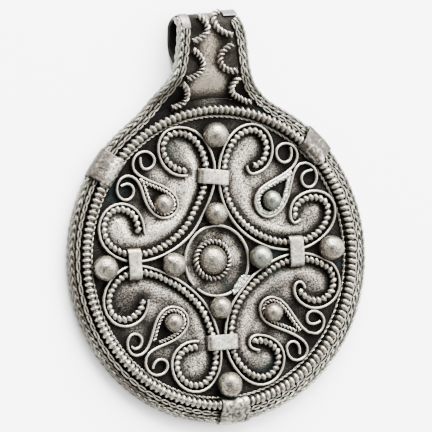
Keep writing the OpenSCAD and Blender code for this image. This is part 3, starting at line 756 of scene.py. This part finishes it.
def silver(name, tone, reach, dark=0.3, clear=0.8, film=0.5, haze=1.0, grain=0.6, speckle=0.15, size=4.0,
           mottle=0.5, depth=0.02, rough=0.32, dents=0.5, green=0.3, metallic=1.0, tint=(1, 1, 1),
           wear_and_shading=None, tarnish_and_shade=None):
    """Worn silver: worn bright where it is open, filmed in between, black in the recesses, as patina and as
    painted shade.

    tone, haze, tint: brightness of the rubbed metal and of the film, and their hue
    reach, dark, clear: depth of the recesses, and how open a place is where it turns black, as patina and
    painted shade, and where bright
    film, mottle: how much is filmed, and how patchy; the last argument adds film, some of it painted shade,
    and the one before it tells what is worn bright, with painted shade and sheen in it
    grain, speckle, size: roughness of the patina's edge, dark specks, and features a millimetre
    depth, rough, dents: depth of the relief in millimetres, roughness, and how wavy the relief is
    """
    finish = bpy.context.scene.pendant_finish
    paint = Paint(bpy.data.materials.new(name))
    fine, mid, broad = paint.noise(size, 2), paint.noise(1.7, 3), paint.noise(0.16, 2)
    # Ambient occlusion blackens the recesses and films them: patina, and painted shade where nearby parts
    # shade them
    openness = paint.openness(reach)
    grains = (fine - 0.5) * grain + (mid - 0.5) * grain * 0.2
    # The mask passed in holds painted shade and a painted sheen beside the worn places
    if wear_and_shading:
        rubbed_and_shaded = wear_and_shading(paint)
        level = (rubbed_and_shaded + 0.06) * (openness * 0.6 + 0.4) + grains * (rubbed_and_shaded * 0.9 + 0.15)
        level = paint.ramp(level, 0.0, 1.0)
        clean_and_lit = level * level
    else:
        clean_and_lit = paint.between(openness + grains, dark, clear)
    dulled_and_shaded = (mid - 0.5) * mottle + 0.25 + broad * 0.9 + (1 - openness) * 0.5
    # The extra film passed in is partly painted shade
    filmed = paint.between(dulled_and_shaded + tarnish_and_shade(paint) if tarnish_and_shade else dulled_and_shaded, 1.05 - film, 1.5 - film)
    traces = paint.between(broad + (mid - 0.5) * 0.3, 0.62, 0.72) * green
    recess = paint.mix(traces, solid(finish.patina), solid(finish.verdigris))
    bright = [c * tone * t for c, t in zip(finish.bright, tint)]
    metal = paint.mix(filmed, solid(bright), solid([c * haze * t for c, t in zip(finish.worn, tint)]))
    specks = (1 - paint.between(fine, 0.38, 0.56)) * speckle
    base = paint.mix(clean_and_lit, recess, paint.mix(specks, metal, solid([c * 0.35 for c in finish.worn])))
    roughness = (1 - clean_and_lit) * 0.35 + rough + (mid - 0.5) * 0.12
    return paint.finish(base, roughness, fine * 0.5 + mid * dents, depth, metallic)


def plate_wear_and_shading(paint):
    """The plate's own mask of worn bright places, with painted shade and a painted sheen in it."""
    return paint.node("ShaderNodeAttribute", {"attribute_name": "wear_and_shading"}, output="Fac")


def strip_wear_and_shade(paint):
    """Lighter along the strip's middle and a little at the top; painted shadow beside the upper left rope's
    curl and at the strip's foot, and painted shade with patina low down on the back leg and inside the eye.
    """
    aside = paint.maths("ABSOLUTE", paint.x + 0.4)
    half = (1 - paint.between(paint.y, 24.0, 28.5)) * 2.1 + 1.2
    middle = paint.between(aside - half, 1.1, -0.8)
    # Painted shade with patina inside the eye
    from_fold = paint.reach(paint.maths("MAXIMUM", paint.y - FOLD_Y, 0.0), paint.z - FOLD_R)
    inside = (1 - paint.between(from_fold, 1.2, 1.3)) * paint.between(paint.y, 28.6, 29.2)
    top = paint.between(paint.y, 34.8, 35.8)
    # Painted shadow at the strip's foot, above the beads
    foot = 1 - paint.between(paint.y, 22.8, 24.2)
    low = 1 - paint.between(paint.y, 25.5, 28.5)
    # Painted shade with patina low down, on the back leg
    front = paint.between(paint.z, 1.5, 3.2)
    # Painted shadow beside the upper left rope's curl
    from_rope = paint.between(paint.reach(paint.x + 2.2, paint.y - 34.5), 1.2, 2.0)
    rubbed_and_shaded = (middle * (low * 0.42 + 0.5) + 0.17) * (from_rope * 0.9 + 0.1)
    return rubbed_and_shaded * front * (1 - foot * 0.35) * (1 - inside) + top * 0.08


def low_down(paint):
    """Darker low down on a ball, and a little darker at the upper left."""
    upper_left = 1 - paint.between(paint.x - paint.y, -3.0, 3.0)
    return (1 - paint.between(paint.z, 1.6, 3.4)) * 0.42 + upper_left * 0.05


def shaded_left_side(paint):
    """Painted shade: darker towards the left, the side turned away from the light."""
    return (1 - paint.between(paint.x, -14.0, 8.0)) * 0.35


def outer_side(paint):
    """More film on the part of a clamp over the braid, most of all on the upper ones."""
    outer = paint.between(paint.reach(paint.x, paint.y), 22.4, 23.2)
    upper, right = paint.between(paint.y, -8.0, 8.0), paint.between(paint.x, 4.0, 12.0)
    return outer * upper * (0.6 - right * 0.35) + upper * 0.14 + right * 0.25


FINISHES = {
    "wire": dict(name="rubbed silver wire", tone=0.78, reach=0.9, dark=0.35, clear=0.9, film=0.4,
                 rough=0.28, speckle=0.3, tint=(1, 1, 0.98)),
    "pair": dict(name="thin silver wires", tone=0.5, reach=0.4, dark=0.2, speckle=0.4, tint=(0.94, 1, 0.98),
                 tarnish_and_shade=shaded_left_side),
    "beads": dict(name="beaded silver wire", tone=0.7, reach=0.6, dark=0.08, clear=0.9, film=0.46,
                  rough=0.3, speckle=0.4, green=0.6, tint=(0.98, 1, 0.99)),
    "rope": dict(name="silver rope", tone=0.82, reach=0.5, dark=0.35, clear=0.95, grain=0.5, rough=0.27),
    "twist": dict(name="twisted silver wire", tone=0.9, reach=0.3, dark=0.1, film=0.45, grain=0.5,
                  rough=0.28),
    "braid": dict(name="plaited silver wire", tone=0.6, reach=0.25, dark=-0.2, film=0.36, haze=0.45,
                  grain=0.9, rough=0.42, speckle=0.6, size=2.8, depth=0.04, tint=(0.94, 1, 0.99),
                  tarnish_and_shade=shaded_left_side),
    "granule": dict(name="satin silver balls", tone=0.6, reach=0.4, dark=-1.5, clear=-0.5, film=0.64,
                    haze=1.05, metallic=0.9, mottle=1.6, grain=0.3, speckle=0.7, size=3.8, depth=0.1,
                    rough=0.25, dents=0.9, tint=(0.98, 1, 0.94), tarnish_and_shade=low_down),
    "greened": dict(name="greened silver balls", tone=0.54, reach=0.4, dark=-1.0, clear=0.0, film=0.55,
                    haze=0.9, metallic=0.9, mottle=1.1, grain=0.2, speckle=0.5, depth=0.08, rough=0.28,
                    dents=0.8, tint=(0.82, 0.98, 0.94), tarnish_and_shade=low_down),
    "strap": dict(name="brushed silver straps", tone=0.86, reach=1.0, clear=0.75, mottle=1.2, grain=0.9,
                  speckle=0.7, size=3.4, depth=0.04, tint=(0.96, 0.99, 0.98)),
    "clamp": dict(name="worn silver clamps", tone=0.8, reach=1.0, dark=0.2, clear=0.75, film=0.38,
                  haze=0.22, mottle=1.8, grain=1.1, speckle=0.8, size=2.2, depth=0.08, rough=0.36,
                  dents=1.2, tint=(0.97, 1, 0.99), tarnish_and_shade=outer_side),
    "cap": dict(name="dull silver caps", tone=0.25, reach=1.0, dark=0.2, clear=0.9, haze=0.5, grain=0.8,
                speckle=0.5, size=2.6, depth=0.06, rough=0.28, dents=1.0, tint=(0.97, 0.98, 1.08)),
    "bail": dict(name="worn and shaded silver bail", tone=0.8, reach=1.6, film=0.55, grain=1.5, size=4.2, depth=0.04,
                 rough=0.42, speckle=0.35, tint=(1, 0.96, 0.88), wear_and_shading=strip_wear_and_shade),
    "plate": dict(name="hammered silver plate", tone=1.12, reach=1.2, grain=2.8, size=4.4, depth=0.06,
                  rough=0.42, dents=0.6, green=0.4, speckle=0.6, tint=(1, 0.98, 0.97), wear_and_shading=plate_wear_and_shading),
    "solder": dict(name="granular solder", tone=0.85, reach=0.5, film=0.15, grain=1.2, depth=0.12,
                   speckle=0.8, size=2.6, tint=(0.9, 0.99, 0.98)),
}


def material_of(kind):
    """The finish of one kind of piece, made when it is first asked for."""
    settings = FINISHES[kind]
    return bpy.data.materials.get(settings["name"]) or silver(**settings)


# Pieces

class PENDANT_OT_base_plate(bpy.types.Operator):
    """Round plate with an embossed field in each scroll and a dish in the middle"""
    bl_idname = "pendant.base_plate"
    bl_label = "Base plate"
    bl_options = {"REGISTER", "UNDO"}

    def execute(self, context):
        sizes = context.scene.pendant_sizes
        radius = sizes.plate_radius
        deselect()
        bpy.ops.mesh.primitive_grid_add(x_subdivisions=GRID, y_subdivisions=GRID, size=2 * radius + 1 * MM,
                                        location=(0, 0, sizes.plate_thickness))
        plate = settle(bpy.context.object)
        self.raise_fields(plate)
        for group, strength in (("fields", sizes.relief), ("dish", -sizes.dish_depth)):
            modify(plate, "DISPLACE", vertex_group=group, strength=strength, mid_level=0, direction="Z")
        roughen(plate, 0.09, 1.1)
        edit(plate, "EDGE", "DESELECT")
        bpy.ops.mesh.select_non_manifold()
        bpy.ops.mesh.extrude_region_move(TRANSFORM_OT_translate={"value": (0, 0, -3 * MM)})
        bpy.ops.mesh.edge_face_add()
        deselect()
        bpy.ops.mesh.primitive_cylinder_add(vertices=ROUND, radius=radius, depth=4 * MM,
                                            location=(0, 0, 2 * MM))
        disc = settle(bpy.context.object)
        select_faces(disc, lambda f: f.center.z < 0.1 * MM)
        bpy.ops.mesh.bevel(offset=0.25 * MM, segments=3)
        cut(plate, disc, "INTERSECT")
        plate.vertex_groups.clear()
        self.mark_wear_and_shading(plate)
        hand_over(plate, "base_plate", "plate")
        return {"FINISHED"}

    def ridges(self):
        """Each field's ridge as points with their half widths."""
        found, step = [], 12
        for rows in FIELDS:
            widths = []
            for a, b in zip(rows, rows[1:]):
                count = max(2, math.ceil(stretches(a, b, step)))
                widths += [a[3] + (b[3] - a[3]) * ease(k / count) for k in range(count)]
            found.append(list(zip(follow(rows, step=step), widths + [rows[-1][3]])))
        return found

    def raised(self, ridge, here, more):
        """1 on a ridge, falling softly to 0 at its half width and a little more."""
        if (ridge[len(ridge) // 2][0] - here).length > 18:
            return 0.0
        near = min((point - here).length / (width + more) for point, width in ridge)
        return (1 - near ** 2) ** 2 if near < 1 else 0.0

    def raise_fields(self, plate):
        """Writes the groups that lift the fields and sink the dish."""
        ridges = self.ridges()
        fields, dish = (plate.vertex_groups.new(name=name) for name in ("fields", "dish"))
        for vertex in plate.data.vertices:
            here = vertex.co.to_2d() / MM
            away = (here - Vector(RING_AT)).length
            if away < DISH_FLAT + DISH_SLOPE:
                dish.add([vertex.index], 1 - ease((away - DISH_FLAT) / DISH_SLOPE), "REPLACE")
            height = max(self.raised(ridge, here, SOFT_EDGE) for ridge in ridges)
            if height > 0:
                fields.add([vertex.index], height, "REPLACE")

    def mark_wear_and_shading(self, plate):
        """Writes how bright each place is: worn bright on fields and worn places, with a painted sheen
        round the fields, and darker beside beads and along the dish's ring, as painted shade with patina.
        """
        ridges = self.ridges()
        beads = [p for name, (side, first, last) in BEADED.items()
                 for p in follow(SCROLLS[name], side, 0, first, last, step=14)]
        wear_and_shading = []
        for vertex in plate.data.vertices:
            here = vertex.co.to_2d() / MM
            level = 0.0
            if vertex.co.z > 0.8 * MM:
                level = max(max(self.raised(ridge, here, WEAR_EDGE) ** 0.75 * most,
                                self.raised(ridge, here, SHEEN_EDGE) * SHEEN)
                            for ridge, most in zip(ridges, FIELD_WEAR))
                for x, y, radius, most in RUBBED:
                    share = 1 - ease(math.dist(here, (x, y)) / radius)
                    level = max(level, most * share) if most > 0 else level * (1 + most * share)
                # Painted shade with patina: the dish is dark along its ring, most of all on the right,
                # where the ring's wall shades it
                around = here - Vector(RING_AT)
                if around.length < 5.5:
                    shade = max(0.0, 0.5 + 0.5 * around.normalized().dot(heading(15)))
                    level *= 1 - 0.75 * shade * ease((around.length - 3.9) / 0.7)
                # Painted shade with oxide: darker beside the beads
                if level > 0.02:
                    level *= 0.25 + 0.75 * ease((min((p - here).length for p in beads) - 0.3) / 1.5)
            wear_and_shading.append(level)
        mask = plate.data.attributes.new("wear_and_shading", "FLOAT", "POINT")
        mask.data.foreach_set("value", wear_and_shading)


class PENDANT_OT_bail(bpy.types.Operator):
    """Strip that rises from the plate, folds over backwards and comes back to its own rear"""
    bl_idname = "pendant.bail"
    bl_label = "Bail"
    bl_options = {"REGISTER", "UNDO"}

    def execute(self, context):
        sizes = context.scene.pendant_sizes
        strip = self.folded_sheet(sizes.sheet / MM)
        outline = cut(self.front_outline(sizes), self.back_outline(sizes), "UNION")
        cut(strip, outline, "INTERSECT")
        deselect()
        bpy.ops.mesh.primitive_cylinder_add(vertices=ROUND, radius=sizes.plate_radius + GAP * MM,
                                            depth=20 * MM)
        cut(strip, bpy.context.object, "DIFFERENCE")
        hand_over(tidy(soften(strip, 0.14, 55), 0.001), "bail_strip", "bail", angle=30)
        return {"FINISHED"}

    def folded_sheet(self, sheet):
        """The strip seen from its side, with the eye that the cord runs through, made very wide."""
        fold = range(80, -81, -8)
        front = [20 + (FOLD_Y - 20) * k / 40 for k in range(41)]
        under = []
        for y in front:
            across = sheet / math.hypot(1, face_slope(y))
            under.append((y + face_slope(y) * across, face_height(y) - across))
        outer = [(y, face_height(y)) for y in front] + bent_line((FOLD_Y, FOLD_R), FOLD_R, fold)
        outer += [(FOLD_Y, 0), *STRIP_REAR, (27.9, STRIP_TOP - sheet)]
        outer += [p for p in reversed(under) if p[0] < RISE_TO]
        eye = [(28.95, STRIP_TOP - sheet), (FOLD_Y, STRIP_TOP - sheet)]
        eye += bent_line((FOLD_Y, FOLD_R), FOLD_R - sheet, fold)
        eye += [(FOLD_Y, sheet), (31.2, sheet), *EYE_END]
        upright = Matrix(((0, 0, 1, 0), (1, 0, 0, 0), (0, 1, 0, 0), (0, 0, 0, 1)))
        return filled_outline([outer, eye], 12, upright)

    def front_outline(self, sizes):
        """The front leg from above, out to the braid's outer side."""
        edge, near = sizes.braid_width / MM / 2 + GAP, sizes.plate_radius / MM + 0.3
        rows = rim_rows()
        left = follow(rows[:len(NECK_LEFT) + 1], 0, edge, step=5)
        right = follow(rows[-len(NECK_RIGHT) - 1:], 0, edge, step=5)
        sides = [tuple(p) for p in left + right if p.length > near]
        return filled_outline([[(-3.4, 36.5), (-4.1, 35.3)] + sides + [(3.3, 36.5)]], 8, Matrix.Identity(4))

    def back_outline(self, sizes):
        """The back leg from above, which is wider and stays under the braid."""
        under = STRIP_TOP - BRAID_SINK - 0.42 * sizes.braid_height / MM - GAP
        shift = -sizes.braid_width / MM / 2
        left = [(p.x + 0.7 * ease((32.5 - p.y) / 4), p.y) for p in follow(NECK_LEFT, 0, shift, step=5)]
        right = [tuple(p) for p in follow(NECK_RIGHT, 0, shift, step=5)]
        sides = [p for p in left + right if p[1] > BACK_FROM]
        return filled_outline([[(-4, 36.5), (-4.8, 35.3)] + sides + [(3.9, 36.5)]], 4,
                              Matrix.Translation((0, 0, (under - 4) * MM)))


class PENDANT_OT_rim(bpy.types.Operator):
    """Beads, thin wires and braid round the edge and up the sides of the bail"""
    bl_idname = "pendant.rim"
    bl_label = "Rim"
    bl_options = {"REGISTER", "UNDO"}

    def execute(self, context):
        sizes = context.scene.pendant_sizes
        across = sizes.bead_diameter
        arcs = []
        for first, last, slant, profile in RIM_ARCS:
            line = circle((0, 0), sizes.bead_ring_radius / MM, SEAT + across / MM / 2, first, last)
            count = round(sizes.rim_beads * (last - first) / 360)
            arcs.append(beaded_wire(line, across, across, count, profile, slant, sides=14))
        hand_over(roughen(join(arcs), 0.12, 0.7), "rim_beaded_wire", "beads", name="silver_rim_beads")

        thick = sizes.inner_wire_diameter / MM
        ring = circle((0, 0), sizes.inner_wire_radius / MM, SEAT + thick / 2)
        inner = twisted_wire(ring, thick * 0.58, thick * 0.24, 1.7, closed=True, sides=6)
        hand_over(inner, "rim_inner_wire", "beads")

        rows = rim_rows()
        lift, *wires = PAIR
        line = follow(rows, 0, sizes.pair_distance / MM, step=4)
        hand_over(crossing_wires([on_face(p, lift) for p in line], *wires), "rim_twisted_pair", "pair")

        strands = []
        wide, tall = sizes.braid_width / MM, sizes.braid_height / MM
        for across, up, hand in BRAID_STRANDS:
            line = follow([BRAID_TIP] + rows, 0, across * wide, step=4)
            points = [on_face(p, -BRAID_SINK + up * tall) for p in line]
            strands.append(twisted_wire(points, wide * 0.46, wide * 0.12, 2.6, hand=hand, flatten=1.25,
                                        phase=40 * across, steps=10))
        hand_over(roughen(join(strands), 0.14, 0.6), "rim_braid", "braid")
        return {"FINISHED"}


class PENDANT_OT_scrolls(bpy.types.Operator):
    """Plain wires, each a long C with a loop at both ends"""
    bl_idname = "pendant.scrolls"
    bl_label = "Scrolls"
    bl_options = {"REGISTER", "UNDO"}

    def execute(self, context):
        sizes = context.scene.pendant_sizes
        middle = SEAT + sizes.scroll_height / MM / 2
        for name, rows in SCROLLS.items():
            wire = plain_wire(rows, sizes.scroll_width, sizes.scroll_height, middle)
            hand_over(roughen(wire, 0.05, 1.4), "scroll_" + name, "wire")
        return {"FINISHED"}


class PENDANT_OT_beaded_wires(bpy.types.Operator):
    """Beaded wires that follow the inside of each scroll"""
    bl_idname = "pendant.beaded_wires"
    bl_label = "Beaded wires"
    bl_options = {"REGISTER", "UNDO"}

    def execute(self, context):
        sizes = context.scene.pendant_sizes
        across = sizes.beaded_diameter
        for name, (side, first, last) in BEADED.items():
            line = follow(SCROLLS[name], side, -side * BEAD_NEARER, first, last)
            points = [(p.x, p.y, SEAT + across / MM / 2) for p in line]
            count = round(path_length(points) * MM / sizes.beaded_pitch)
            wire = beaded_wire(points, across * BEAD_SPREAD, across, count, BEAD, BEAD_SLANT)
            hand_over(roughen(wire, 0.16, 0.4), "beaded_" + name, "beads")
        return {"FINISHED"}


class PENDANT_OT_teardrops(bpy.types.Operator):
    """Teardrop wires with two curled ends, and the twisted wires inside them"""
    bl_idname = "pendant.teardrops"
    bl_label = "Teardrops"
    bl_options = {"REGISTER", "UNDO"}

    def execute(self, context):
        sizes = context.scene.pendant_sizes
        middle, thick = SEAT + sizes.drop_height / MM / 2, sizes.drop_twist / MM
        for name, rows in TEARDROPS.items():
            wire = plain_wire(rows, sizes.drop_width, sizes.drop_height, middle)
            hand_over(roughen(wire, 0.05, 1.2), "teardrop_" + name, "wire")
            side, first, last = DROP_TWISTS[name]
            line = follow(rows, 0, side * sizes.drop_twist_gap / MM, first, last)
            points = [(p.x, p.y, SEAT + 0.46) for p in line]
            twist = twisted_wire(points, thick * 0.56, thick * 0.25, 1.15, sides=7, steps=10)
            if name == FLOODED:
                twist = join([twist, self.flood(rows, side, first, last)])
            hand_over(twist, "teardrop_twist_" + name, "solder" if name == FLOODED else "twist")
        return {"FINISHED"}

    def flood(self, rows, side, first, last):
        """Solder that has run over the twisted wire and up to the plain one."""
        run = draw_path([(p.x, p.y, SEAT + 0.36) for p in follow(rows, 0, side * 0.42, first, last)])
        run.data.bevel_depth = 0.38 * MM
        run.data.use_fill_caps = True
        solder = modify(tidy(to_mesh(run)), "REMESH", mode="VOXEL", voxel_size=0.08 * MM)
        return roughen(solder, 0.34, 0.4, depth=3)


class PENDANT_OT_granules(bpy.types.Operator):
    """Balls near the rim, round the centre and in the teardrops, and the boss"""
    bl_idname = "pendant.granules"
    bl_label = "Granules"
    bl_options = {"REGISTER", "UNDO"}

    def execute(self, context):
        sizes = context.scene.pendant_sizes
        rng = random.Random(5)
        for name, (x, y, size) in BALLS.items():
            radius = getattr(sizes, size + "_ball") * (NUBBED_LARGER if name == NUBBED else 1)
            ball = self.ball(x, y, radius, SEAT * MM + BALL_LIFT * radius, SEAT * MM, rng)
            if name == NUBBED:
                ball = join([ball, self.nub(x, y, radius)])
            kind = "greened" if name in GREENED else "granule"
            hand_over(ball, "granule_" + name, kind)
        floor = SEAT * MM - sizes.dish_depth
        boss = self.ball(*BOSS_AT, sizes.boss, floor + BOSS_LIFT * MM, floor, rng)
        hand_over(boss, "centre_boss", "granule")
        return {"FINISHED"}

    def nub(self, x, y, radius):
        """The small point that is left on one ball where its wire was cut."""
        deselect()
        place = Vector((x * MM, y * MM, SEAT * MM + BALL_LIFT * radius)) + NUB_TOWARDS * radius * NUB_OUT
        turned = NUB_TOWARDS.to_track_quat("Z", "Y").to_euler()
        bpy.ops.mesh.primitive_cone_add(vertices=24, radius1=NUB_FOOT * MM, radius2=NUB_TIP * MM,
                                        depth=NUB_LONG * MM, location=place, rotation=turned)
        return modify(settle(bpy.context.object), "BEVEL", width=0.1 * MM, segments=2)

    def ball(self, x, y, radius, z, foot, rng):
        """A ball with a flat foot."""
        deselect()
        bpy.ops.mesh.primitive_uv_sphere_add(segments=40, ring_count=24, radius=radius,
                                             rotation=[rng.uniform(-0.4, 0.4) for _ in range(3)])
        ball = settle(bpy.context.object)
        ball.scale = [rng.uniform(0.97, 1.01) for _ in range(3)]
        ball.location = (x * MM, y * MM, z)
        settle(ball)
        edit(ball, "VERT")
        bpy.ops.mesh.bisect(plane_co=(0, 0, foot + FOOT * MM), plane_no=(0, 0, 1), clear_inner=True)
        bpy.ops.mesh.select_all(action="DESELECT")
        bpy.ops.mesh.select_non_manifold()
        bpy.ops.mesh.extrude_region_move(TRANSFORM_OT_translate={"value": (0, 0, -FOOT * MM)})
        return roughen(tidy(ball), radius / MM * 0.045, 0.9 * radius / MM)


class PENDANT_OT_centre(bpy.types.Operator):
    """Rope ring and plain ring round the boss, and the solder beside them"""
    bl_idname = "pendant.centre"
    bl_label = "Centre"
    bl_options = {"REGISTER", "UNDO"}

    def execute(self, context):
        sizes = context.scene.pendant_sizes
        rope = sizes.rope / MM
        z = SEAT - sizes.dish_depth / MM + rope / 2
        ring = circle(BOSS_AT, sizes.boss_rope_radius / MM, z, step=6)
        twist = twisted_wire(ring, rope * 0.58, rope * SPREAD, 1.3, closed=True, steps=14)
        hand_over(twist, "centre_rope_ring", "rope")

        wire = sizes.centre_ring_wire
        rows = round_rows(RING_AT, sizes.centre_ring_radius / MM, -132, 219, 12)
        plain = plain_wire(rows, wire, wire * 1.3, SEAT + wire / MM * 0.65)
        hand_over(roughen(plain, 0.06, 1.0), "centre_ring", "wire")

        patch = filled_outline([PATCH], 0.28, Matrix.Translation((0, 0, (SEAT + 0.55) * MM)))
        modify(patch, "REMESH", mode="VOXEL", voxel_size=0.09 * MM)
        hand_over(roughen(patch, 0.35, 0.45, depth=3), "solder_patch", "solder", angle=60)
        return {"FINISHED"}


class PENDANT_OT_bands(bpy.types.Operator):
    """Flat straps over each pair of neighbouring scrolls"""
    bl_idname = "pendant.bands"
    bl_label = "Bands"
    bl_options = {"REGISTER", "UNDO"}

    def execute(self, context):
        sizes = context.scene.pendant_sizes
        half, steps = sizes.strap / MM / 2, 6
        top = sizes.band_top / MM - half
        for name, (x, y, turned, low, high, width) in BANDS.items():
            low, high = half - low, high - half
            line = [(low, SEAT)] + [(low + a, top - b) for a, b in BAND_BEND]
            line += [(low + 0.6 + (high - low - 1.2) * k / 6, top) for k in range(1, 6)]
            line += [(high - a, top - b) for a, b in reversed(BAND_BEND)] + [(high, SEAT)]

            def sweep():
                for _ in range(steps):
                    bpy.ops.mesh.extrude_region_move(
                        TRANSFORM_OT_translate={"value": (0, width / steps * MM, 0)})

            band = strap([(a, -width / 2, b) for a, b in line], sizes.strap, sweep)
            band.location = (x * MM, y * MM, 0)
            band.rotation_euler.z = math.radians(turned)
            hand_over(roughen(settle(band), 0.09, 1.3), "band_" + name, "strap")
        return {"FINISHED"}


class PENDANT_OT_clamps(bpy.types.Operator):
    """Bent straps over the rim and caps over the braid's ends at the fold"""
    bl_idname = "pendant.clamps"
    bl_label = "Clamps and caps"
    bl_options = {"REGISTER", "UNDO"}

    def execute(self, context):
        sizes = context.scene.pendant_sizes
        half = sizes.strap / MM / 2
        for name, (first, last) in CLAMPS.items():
            along = heading(first)

            def sweep():
                bpy.ops.mesh.spin(steps=14, angle=math.radians(first - last), center=(0, 0, 0),
                                  axis=(0, 0, 1))

            line = [(r * along.x, r * along.y, z) for r, z in self.section(sizes, half)]
            clamp = roughen(strap(line, sizes.strap, sweep), 0.12, 1.6)
            hand_over(clamp, "rim_clamp_" + name, "clamp")

        for name, (x, width, first, last) in CAPS.items():
            start = heading(first) * (FOLD_R + GAP + half)

            def sweep():
                bpy.ops.mesh.spin(steps=20, angle=math.radians(first - last), axis=(1, 0, 0),
                                  center=(0, FOLD_Y * MM, FOLD_R * MM))

            line = [(x + width * k / 6, FOLD_Y + start.x, FOLD_R + start.y) for k in range(7)]
            cap = roughen(strap(line, sizes.strap, sweep), 0.08, 1.4)
            hand_over(cap, "bail_cap_" + name, "cap")
        return {"FINISHED"}

    def section(self, sizes, half):
        """A clamp's middle line over the beads, the thin wires and the braid: distance out and height."""
        over, ring = sizes.bead_diameter / MM / 2, sizes.bead_ring_radius / MM
        bow, level = over + GAP + half, SEAT + over
        out = BRAID_RING + sizes.braid_width / MM / 2 + GAP + half
        over_beads = bent_line((ring, level), bow, range(190, 99, -10)) + [(ring + 0.2, level + bow)]
        return over_beads + CLAMP_DOWN + [(out + r, z) for r, z in CLAMP_END]


class PENDANT_OT_neck_ropes(bpy.types.Operator):
    """Rope arcs on the bail's face"""
    bl_idname = "pendant.neck_ropes"
    bl_label = "Neck ropes"
    bl_options = {"REGISTER", "UNDO"}

    def execute(self, context):
        rope = context.scene.pendant_sizes.rope / MM
        for name, rows in NECK_ROPES.items():
            points = [on_face(p, GAP + rope / 2) for p in follow(rows, step=6)]
            twist = twisted_wire(points, rope * STRAND, rope * SPREAD, 1.4, steps=14)
            hand_over(twist, "neck_rope_" + name, "rope")
        return {"FINISHED"}


class PENDANT_OT_stage(bpy.types.Operator):
    """Pale floor, soft studio light and the camera"""
    bl_idname = "pendant.stage"
    bl_label = "Stage"
    bl_options = {"REGISTER", "UNDO"}

    def execute(self, context):
        deselect()
        bpy.ops.mesh.primitive_plane_add(size=6)
        floor = bpy.context.object
        floor.name = "floor"
        paint = Paint(bpy.data.materials.new("pale floor"))
        tone = context.scene.pendant_finish.floor
        cloudy = paint.noise(0.01, 1)
        base = paint.mix(cloudy * 0.15, solid(tone), solid([c * 0.95 for c in tone]))
        floor.data.materials.append(paint.finish(base, 0.6 + cloudy * 0.1, cloudy, 0.01, metallic=0.0))

        for name, (place, size, power) in LIGHTS.items():
            bpy.ops.object.light_add(type="AREA", location=place)
            light = bpy.context.object
            light.name = name
            light.data.size = size
            light.data.energy = power
            light.rotation_mode = "QUATERNION"
            light.rotation_quaternion = (-Vector(place)).to_track_quat("-Z", "Y")
        self.set_world(context)
        self.set_camera(context)
        return {"FINISHED"}

    def set_world(self, context):
        """Soft light all round, strongest from beyond the bail and dim on the camera's side."""
        context.scene.world = context.scene.world or bpy.data.worlds.new("studio")
        studio = Paint(context.scene.world)
        towards = studio.node("ShaderNodeTexCoord", output="Generated")

        def facing(direction, low, high):
            aligned = studio.node("ShaderNodeVectorMath", {"operation": "DOT_PRODUCT"},
                                  {0: towards, 1: Vector(direction).normalized()}, output="Value")
            return studio.between(aligned, low, high)

        strength = facing(BRIGHT_SIDE, -0.4, 0.95) * LIGHT_MORE + LIGHT_LEAST
        strength *= 1 - facing(CAMERA_BACK, 0.75, 0.96) * DIMMED
        light = studio.node("ShaderNodeBackground", inputs={"Color": (1, 1, 1, 1), "Strength": strength})
        studio.node("ShaderNodeOutputWorld", inputs={"Surface": light})

    def set_camera(self, context):
        """A long lens from the left of the pendant's own upright, a little rolled."""
        up, back = CAMERA_UP, CAMERA_BACK
        right = up.cross(back)
        aim = AIM_AT - right * (AIM_PIXEL[0] - IMAGE / 2) * VIEW / IMAGE \
            + up * (AIM_PIXEL[1] - IMAGE / 2) * VIEW / IMAGE
        bpy.ops.object.camera_add(location=(aim + back * AWAY) * MM)
        camera = bpy.context.object
        camera.rotation_mode = "QUATERNION"
        camera.rotation_quaternion = Matrix((right, up, back)).transposed().to_quaternion()
        camera.data.sensor_width = SENSOR
        camera.data.lens = SENSOR * AWAY / VIEW
        camera.data.clip_start, camera.data.clip_end = 0.05, 20
        context.scene.camera = camera


PIECES = (PENDANT_OT_base_plate, PENDANT_OT_bail, PENDANT_OT_rim, PENDANT_OT_scrolls,
          PENDANT_OT_beaded_wires, PENDANT_OT_teardrops, PENDANT_OT_granules, PENDANT_OT_centre,
          PENDANT_OT_bands, PENDANT_OT_clamps, PENDANT_OT_neck_ropes, PENDANT_OT_stage)


class PENDANT_PT_panel(bpy.types.Panel):
    """Lists the pendant's pieces"""
    bl_idname = "PENDANT_PT_panel"
    bl_label = "Pendant"
    bl_space_type = "VIEW_3D"
    bl_region_type = "UI"
    bl_category = "Pendant"

    def draw(self, context):
        for group in (context.scene.pendant_sizes, context.scene.pendant_finish):
            column = self.layout.column()
            for name in group.bl_rna.properties.keys():
                if name not in ("rna_type", "name"):
                    column.prop(group, name)
        for piece in PIECES:
            self.layout.operator(piece.bl_idname)


CLASSES = (PendantSizes, PendantFinish, *PIECES, PENDANT_PT_panel)


def register():
    for one in CLASSES:
        bpy.utils.register_class(one)
    bpy.types.Scene.pendant_sizes = PointerProperty(type=PendantSizes)
    bpy.types.Scene.pendant_finish = PointerProperty(type=PendantFinish)


def unregister():
    del bpy.types.Scene.pendant_finish, bpy.types.Scene.pendant_sizes
    for one in reversed(CLASSES):
        bpy.utils.unregister_class(one)


def main():
    register()
    for piece in PIECES:
        getattr(bpy.ops.pendant, piece.bl_idname.split(".")[1])()


if __name__ == "__main__":
    main()
